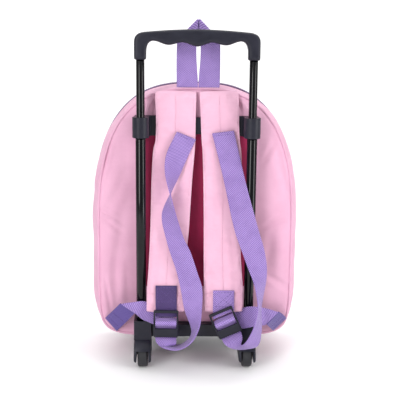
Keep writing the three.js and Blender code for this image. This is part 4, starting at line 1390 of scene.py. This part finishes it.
def box_stitch(centre, half_width, half_height):
    """An upright box with a cross in it, as lines about a centre."""
    corners = [
        centre + (sx * half_width, 0, sz * half_height)
        for sx, sz in ((-1, -1), (1, -1), (1, 1), (-1, 1))
    ]
    pairs = ((0, 1), (1, 2), (2, 3), (3, 0), (0, 2), (1, 3))
    return [(corners[i], corners[j]) for i, j in pairs]


def strap_lines():
    lines = []
    for side in SIDES:
        points, across, out, _, seam_row = strap_grid(side)
        outer = np.where(out > 0.6)[0]
        for share in (-0.86, 0.86, -0.06, 0.06):
            column = outer[np.argmin(np.abs(across[outer] - share))]
            lines.append(points[3:-3, column])
        for row in (seam_row - 1, seam_row + 1, STRAP_CUTS - 4):
            lines.append(points[row, outer][1:-1])
    return lines


def tab_lines():
    lines = []
    for side in SIDES:
        low, high = local_box(f"strap_tab_{side}")
        middle = np.array([(low[0] + high[0]) / 2, 0, high[2] - TAB_STITCH_DROP])
        lines += box_stitch(middle, *TAB_STITCH_HALF)
    return lines


# Stitches along the sides and bottom of the burgundy painted shade on the back panel
def back_lines():
    aside = PAINTED_SHADE_HALF_WIDTH + SEAM_ASIDE
    low = PAINTED_SHADE_BOTTOM - SEAM_ASIDE
    reach = PAINTED_SHADE_HALF_WIDTH - SEAM_ASIDE
    sides = [((x, 0, BACK_SEAM_LOW), (x, 0, BACK_SEAM_HIGH)) for x in (-aside, aside)]
    return sides + [((-reach, 0, low), (reach, 0, low))]


def hem_lines(node, from_top, margin, *places):
    """Lines across a pair of ribbons. A place is a cut and a share of the way to the next."""
    lines = []
    for side in SIDES:
        first, second = ribbon_edges(f"{node}_{side}")
        if (first[0][2] > first[-1][2]) != from_top:
            first, second = first[::-1], second[::-1]
        for index, share in places:
            start = first[index] + (first[index + 1] - first[index]) * share
            end = second[index] + (second[index + 1] - second[index]) * share
            lines.append((start + (end - start) * margin, end + (start - end) * margin))
    return lines


def make_stitches(straps, bands, back, pink, purple):
    tails = hem_lines("adjuster_webbing", True, 0.07, (0, 0.3))
    corners = hem_lines("corner_tab", False, 0.08, (1, 0.3), (3, 0.5))
    rows = (
        ("strap_stitches", strap_lines(), straps, pink, "pink_cloth"),
        ("tab_stitches", tab_lines(), bands["tab"], purple, "dark_webbing"),
        ("back_stitches", back_lines(), [back], pink, "pink_cloth"),
        ("tail_stitches", tails, bands["band"], purple, "purple_webbing"),
        ("corner_stitches", corners, bands["corner"], purple, "dark_webbing"),
    )
    for row in rows:
        stitch_lines(*row)


# The scene

make_camera()
make_lights()
make_floor(floor_material())

pink_cloth = cloth_material("pink_cloth", *PINK)
side_cloth = cloth_material("side_cloth", *SIDE_PINK)
# The back panel's pink, with the burgundy painted shade between the tubes
back_cloth = back_material(SIDE_PINK, PAINTED_SHADE_BURGUNDY)
webbing = webbing_material("purple_webbing", *PURPLE)
dark_webbing = webbing_material("dark_webbing", *DARK_PURPLE)
# The corner tabs' webbing, darkened with painted shade
painted_shade_corner_webbing = webbing_material("painted_shade_corner_webbing", *PAINTED_SHADE_PURPLE)
piping_cloth = cloth_material("front_piping_cloth", *DARK_PURPLE[:2], 0.05)
zip_cloth = cloth_material("zip_cloth", *ZIP_MAUVE, 0.04)
zip_plastic = plastic_material("zip_teeth", ZIP_MAUVE[0], 0.4)
satin = plastic_material("satin_plastic", SATIN_BLACK, 0.42, Specular_IOR_Level=0.28)
gloss = plastic_material("gloss_tube", GLOSS_BLACK, 0.13, depth=0.003, Specular_IOR_Level=0.3)
tyre = plastic_material("wheel_plastic", WHEEL_BLACK, 0.55)
steel = plastic_material("axle_steel", STEEL, 0.35, Metallic=0.9)
pull_metal = plastic_material("zip_metal", ZIP_METAL, 0.3, Metallic=0.6)
pink_thread = thread_material("pink_thread", PINK_THREAD)
purple_thread = thread_material("purple_thread", PURPLE_THREAD)

make_gusset(side_cloth)
back = make_back(back_cloth)
make_front(pink_cloth)
make_piping("back_piping_cord", PIPING_RADIUS, 0, side_cloth, "side_cloth", "back_piping")
make_piping("front_piping_cord", GUSSET_FRONT + GAP + PIPING_RADIUS, 1, piping_cloth,
            "dark_webbing", "front_piping")
make_zip(zip_cloth, zip_plastic, pull_metal)
make_rigid(satin, gloss, steel, tyre)
bands = make_webbing(webbing, dark_webbing, painted_shade_corner_webbing)
make_carry_loop(webbing)
straps = [make_strap(side, pink_cloth) for side in SIDES]
for side in SIDES:
    make_buckle(side, satin)
make_stitches(straps, bands, back, pink_thread, purple_thread)
